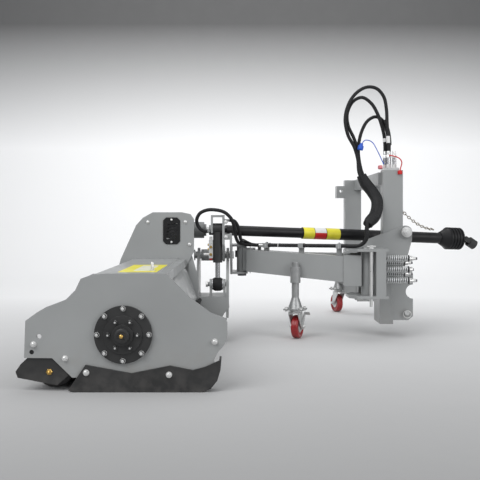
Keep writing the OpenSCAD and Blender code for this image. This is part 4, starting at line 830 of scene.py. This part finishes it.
# Chain from the leg to the shaft guard
chainSizes = {"from": (916, 1282, 700), "to": (1172, 1596, 592), "sag": 22, "links": 15, "width": 14,
              "wire": 2.4, "steps": 40, "overlap": 1.12, "hook": (909, 1276, 700)}
chainStart, chainEnd = np.array(chainSizes["from"]), np.array(chainSizes["to"])
chainLine = []
for k in range(chainSizes["steps"] + 1):
    t = k / chainSizes["steps"]
    x, y, z = chainStart + (chainEnd - chainStart) * t
    chainLine.append((x, y, z - 4 * chainSizes["sag"] * t * (1 - t)))
chainPitch = routeLength(chainLine) / chainSizes["links"]
chain = grown("chainLinks", "chain", chainLine, [(k, k + 1) for k in range(chainSizes["steps"])],
              {"Link length": chainPitch * chainSizes["overlap"], "Link width": chainSizes["width"] / 1000,
               "Wire radius": chainSizes["wire"] / 1000, "Pitch": chainPitch, "Finish": chainZinc},
              "headstock")
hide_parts("safety_chain")
addPiece("chainHook", *nut(chainSizes["hook"], ahead, "hook"), zinc, "headstock", "zinc")

# Quick couplers on the leg with their caps and strings
couplerSizes = {"spots": [(832, 1262), (818, 1284), (846, 1306), (866, 1266)], "foot": 943,
                "sleeveRise": 18, "upperRise": 56, "ferruleRise": 72,
                "sleeve": [(9, 0), (11.6, 1), (11.6, 12), (10.6, 13), (10.6, 16), (11.8, 17), (11.8, 30),
                           (10.9, 31), (10.9, 38), (9, 39)],
                "ferrule": [(8.2, 0), (9.9, 0), (9.9, 20), (9.2, 22), (8.2, 22)]}
couplerParts, hexParts, ringParts = [], [], []
for x, y in couplerSizes["spots"]:
    z = couplerSizes["foot"]
    hexParts.append(nut((x, y, z), up, "couplerFoot"))
    hexParts.append(nut((x, y, z + couplerSizes["upperRise"]), up, "couplerTop"))
    couplerParts.append(turned((x, y, z + couplerSizes["sleeveRise"]), up, couplerSizes["sleeve"], 28))
    ringParts.append(turned((x, y, z + couplerSizes["ferruleRise"]), up, couplerSizes["ferrule"], 24))
addParts("couplerHexes", hexParts, brightZinc, "headstock", "zinc")
addParts("couplerSleeves", couplerParts, turnedSteel, "headstock", "zinc")
addParts("couplerFerrules", ringParts, brightZinc, "headstock", "zinc")


def alongHose(name, start, stop):
    route = smoothRoute(hoseRoutes[name], hoseSizes["step"])
    gone, kept = 0.0, []
    for a, b in zip(route, route[1:]):
        gone += float(np.linalg.norm(b - a))
        if start <= gone <= stop:
            kept.append(b)
    return kept


gripTube = sweep(alongHose("hose_loop_3", 30, 190), 13.5, 20)
addPiece("hoseGrip", *gripTube, blackPlastic, "headstock", "black_plastic")
whiteSleeves = [sweep(alongHose(name, 44, stop), 11, 18)
                for name, stop in (("hose_loop_1", 84), ("hose_loop_2", 78))]
addParts("hoseSleeves", whiteSleeves, whitePlastic, "headstock", "black_plastic")

# Sleeve round the three hoses where they run down together
bundleSizes = {"top": 905, "low": 622, "radius": 33, "end": 0.82, "swell": 1.2, "edges": (660, 678, 1285)}


def bundleRadius(t):
    return bundleSizes["radius"] * min(1, bundleSizes["end"] + bundleSizes["swell"] * min(t, 1 - t))


rear, rearInside, inside = bundleSizes["edges"]
middleRoute = [p for p in smoothRoute(hoseRoutes["hose_loop_2"], hoseSizes["step"])
               if bundleSizes["low"] < p[2] < bundleSizes["top"] and p[0] > rear
               and (p[1] < inside or p[0] > rearInside)]
addPiece("hoseBundleSleeve", *sweep(middleRoute, bundleRadius, 26), hoseRubber, "headstock", "hose_rubber")


def plasticPiece(name, shape, mat):
    addPiece(name, *shape, mat, "headstock", "black_plastic")


def strand(points, radius):
    return sweep(smoothRoute(points, 8), radius, 8)


blueOutline = [(15, 0), (16, 2), (16, 22), (13, 26), (10, 27), (9, 38)]
plasticPiece("blueCap", solid((672, 1255, 1042), (0.25, 0, 1), blueOutline, 28, 40), bluePlastic)
string = [(680, 1255, 1072), (700, 1250, 1096), (740, 1248, 1084), (772, 1250, 1030), (794, 1254, 985),
          (806, 1262, 962)]
plasticPiece("blueString", strand(string, 2.6), bluePlastic)
strap = [(832, 1250, 1012), (862, 1240, 1006), (890, 1236, 992), (902, 1236, 970), (897, 1238, 946),
         (893, 1242, 925)]
plasticPiece("redStrap", strand(strap, 3.2), redPlastic)
redOutline = [(12, 0), (13, 2), (13, 18), (10, 21)]
plasticPiece("redCap", solid((893, 1243, 905), up, redOutline, 24, 22), redPlastic)
pinkOutline = [(12, 0), (13, 2), (13, 16), (10, 19)]
plasticPiece("pinkCap", solid((785, 1252, 936), (0, 0.2, 1), pinkOutline, 24, 20), pinkPlastic)
print("couplers and chain")

# Plain coloured bands round the near half of the drive shaft's guard
shaftSizes = {"from": (-110, 1240, 594), "way": (0.95805, 0.28379, -0.04013), "guard": 33.0, "skin": 0.7,
              "yellow": (490, 557), "white": (560, 630), "yellowFar": (634, 718),
              "low": 90, "split": 172, "high": 270}


def shaftWrap(span, low, high):
    way = np.array(shaftSizes["way"])
    r = shaftSizes["guard"]
    base = np.array(shaftSizes["from"], float) + way * span[0]
    size = span[1] - span[0]
    outer, inner = (turned(base, way, [(q, 0), (q, size)], 36, low, high - low)
                    for q in (r + shaftSizes["skin"], r - 1))
    n = len(outer[0]) // 2
    verts = outer[0] + inner[0]
    faces = list(outer[1]) + [tuple(2 * n + i for i in reversed(f)) for f in inner[1]]
    faces += [(i + 1, i, 2 * n + i, 2 * n + i + 1) for i in range(n - 1)]
    faces += [(n + i, n + i + 1, 3 * n + i + 1, 3 * n + i) for i in range(n - 1)]
    faces += [(0, n, 3 * n, 2 * n), (2 * n - 1, n - 1, 3 * n - 1, 4 * n - 1)]
    return verts, faces


for name, spans, low, high, mat in (("shaftBandYellow", ("yellow", "yellowFar"), "low", "high", yellowBand),
                                    ("shaftBandWhite", ("white",), "low", "split", whitePlastic),
                                    ("shaftBandRed", ("white",), "split", "high", redPlastic)):
    wraps = [shaftWrap(shaftSizes[span], shaftSizes[low], shaftSizes[high]) for span in spans]
    addParts(name, wraps, mat, "front_guard", "black_plastic")

# Bright fasteners of the headstock and its bracket, and the welds of the leg
headSizes = {"boss": (922, 1199, 583), "ring": (21, 2.2), "rings": [(930, 1226, 126), (930, 2240, 126)],
             "lean": (0.25, 0.2),
             "seams": [[(799, 482), (799, 560)], [(782, 482), (799, 482)], [(855, 366), (910, 366)],
                       [(845, 120), (845, 360)]],
             "legFace": 1247, "case": [(-520, 320), (-520, 400), (-300, 320), (-300, 400)], "caseFace": 1163,
             "gearbox": (-366, 1307, 594), "gearboxRing": 48}
bossX, bossY, bossZ = headSizes["boss"]
bossParts = [nut((bossX, bossY + 12, bossZ), toNear, "bossWasher", 40),
             nut((bossX, bossY, bossZ), toNear, "boss"),
             nut((bossX, bossY - 17, bossZ), toNear, "bossEnd", 28)]
addParts("bossNut", bossParts, brightZinc, "headstock", "zinc")
rings = [ringTube(spot, (lean, 1, 0.1), *headSizes["ring"])
         for spot, lean in zip(headSizes["rings"], headSizes["lean"])]
addParts("lynchRings", rings, brightZinc, "headstock", "zinc")
legSeams = [onFace(headSizes["legFace"], seam) for seam in headSizes["seams"]]
weld("headstockWelds", "headstock", legSeams, 3.0)
bolts("caseBolts", "deck", toFar, "case", onFace(headSizes["caseFace"], headSizes["case"]))
bolts("gearboxBolts", "deck", toFar, "gearbox", around(headSizes["gearbox"], headSizes["gearboxRing"], 6, 30))

# Tilt cylinder: wiper ring, pin nuts, eye cover and the fittings of its valve block
tiltSizes = {"cylinder": (-120.5, 1108), "low": 305, "high": 605, "barrel": 25, "eye": 24,
             "pinEnds": (-173, -74), "carriage": [(-75, 560), (-75, 640)], "carriageFace": 1078}
cx, cy = tiltSizes["cylinder"]
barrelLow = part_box("tilt_barrel")[0][2] * 1000
glandOutline = [(13, 0), (20, 0), (22, 2), (22, 12), (20, 13), (13, 13)]
gland = turned((cx, cy, barrelLow - 1), up, glandOutline, 36)
addPiece("tiltGland", *gland, turnedSteel, "tilt_barrel", "zinc")
rearEnd, frontEnd = tiltSizes["pinEnds"]
pinNuts = [nut((x, cy, tiltSizes["low"]), way, "tiltPin")
           for x, way in ((frontEnd, ahead), (rearEnd, behind))]
addParts("tiltPinNuts", pinNuts, brightZinc, "deck", "zinc")
eyeOutline = [(tiltSizes["eye"] + rise, h)
              for rise, h in ((0, 0), (7, 2), (12, 12), (13, 27), (12, 42), (7, 52), (0, 54))]
eyeCover = turned((cx - 27, cy, tiltSizes["low"]), ahead, eyeOutline, 40)
addPiece("tiltEyeCover", *eyeCover, blackRubber, "tilt_rod", "black_rubber")
valveX = cx - tiltSizes["barrel"] - 11
valveParts = [nut((valveX - 11, cy, tiltSizes["high"] - drop), behind, "valveRear") for drop in (88, 112)]
valveParts += [nut((valveX, cy - 14, tiltSizes["high"] - drop), toNear, "valveNear") for drop in (100, 140)]
addParts("valvePlugs", valveParts, brass, "tilt_barrel", "zinc")
valveCap = solid((valveX, cy, tiltSizes["high"] - 160), down, [(8, 0), (8.5, 3), (7.5, 10)], 20, 12)
addPiece("valveCap", *valveCap, redPlastic, "tilt_barrel", "black_plastic")
carriageSpots = onFace(tiltSizes["carriageFace"], tiltSizes["carriage"])
bolts("carriageBolts", "carriage", toNear, "carriage", carriageSpots)

# Stage: a pale floor that turns up into a backdrop, with painted shade that darkens the floor towards the
# camera and the backdrop towards its top, painted light on the floor beyond the camera, soft lamps and a
# plain world
stageSizes = {"half": 16.0, "front": -16.0, "back": 3.4, "turn": 3.0, "height": 8.0, "steps": 16,
              "floorPaintedShade": (-2.6, 2.0, 0.27, 0.90), "wallPaintedShade": (1.6, 3.5, 0.92, 0.13),
              "frontPaintedLight": (-5.2, -3.4, 0.86, 0.0), "sky": (0.85, 0.87, 0.9, 1), "skyPower": 0.55}
profile = [(stageSizes["front"], 0.0), (stageSizes["back"], 0.0)]
for k in range(1, stageSizes["steps"] + 1):
    a = math.pi / 2 * k / stageSizes["steps"]
    profile.append((stageSizes["back"] + stageSizes["turn"] * math.sin(a),
                    stageSizes["turn"] * (1 - math.cos(a))))
profile.append((profile[-1][0], stageSizes["height"]))
stageMesh = bpy.data.meshes.new("studioFloor")
stageMesh.from_pydata([(x, y, z) for y, z in profile for x in (-stageSizes["half"], stageSizes["half"])], [],
                      [(2 * i, 2 * i + 1, 2 * i + 3, 2 * i + 2) for i in range(len(profile) - 1)])
stageMesh.shade_smooth()
floorMat = makeFinish("floorPaintedShading", (0.62, 0.62, 0.62), 0.8, mottle=0.02, mottleScale=1.5, grain=0.03,
                      grainScale=60, rounding=0.0001, shine=0.2)
floorTree = floorMat.node_tree
floorCoords = floorTree.nodes.new("ShaderNodeTexCoord").outputs["Object"]
floorPlace = node(floorTree, "ShaderNodeSeparateXYZ", Vector=floorCoords)
# Painted shade and light in the floor's colour: darker towards the camera and up the backdrop, paler again
# beyond the camera
paintedRamps = [spread(floorTree, floorPlace.outputs[axis], *stageSizes[paintedRamp])
         for axis, paintedRamp in (("Y", "floorPaintedShade"), ("Z", "wallPaintedShade"), ("Y", "frontPaintedLight"))]
paintedLightAndShade = maths(floorTree, "MAXIMUM", maths(floorTree, "MINIMUM", paintedRamps[0], paintedRamps[1]), paintedRamps[2])
link(floorTree, paintedLightAndShade, floorTree.nodes["Principled BSDF"].inputs["Base Color"])
stageMesh.materials.append(floorMat)
floor = bpy.data.objects.new("studioFloor", stageMesh)
bpy.context.collection.objects.link(floor)


def lamp(name, place, target, size, power):
    data = bpy.data.lights.new(name, "AREA")
    data.shape = "RECTANGLE"
    data.size, data.size_y = size
    data.energy = power
    made = bpy.data.objects.new(name, data)
    made.location = place
    way = Vector(target) - Vector(place)
    made.rotation_euler = way.to_track_quat("-Z", "Y").to_euler()
    bpy.context.collection.objects.link(made)


lamp("keyLamp", (-2.6, -3.4, 3.6), (0, 0, 0.4), (3.2, 3.2), 120)
lamp("fillLamp", (3.4, -3.2, 2.2), (0.2, 0, 0.5), (3.0, 3.0), 75)
lamp("topLamp", (0.2, 0.2, 4.6), (0, 0, 0), (4.0, 4.0), 55)
lamp("wallLamp", (0, 2.8, 4.6), (0, 6.4, 1.2), (7.0, 0.8), 135)
world = bpy.data.worlds.new("studioWorld")
scene.world = world
world.use_nodes = True
background = world.node_tree.nodes["Background"]
background.inputs["Color"].default_value = stageSizes["sky"]
background.inputs["Strength"].default_value = stageSizes["skyPower"]
print("stage and lights")
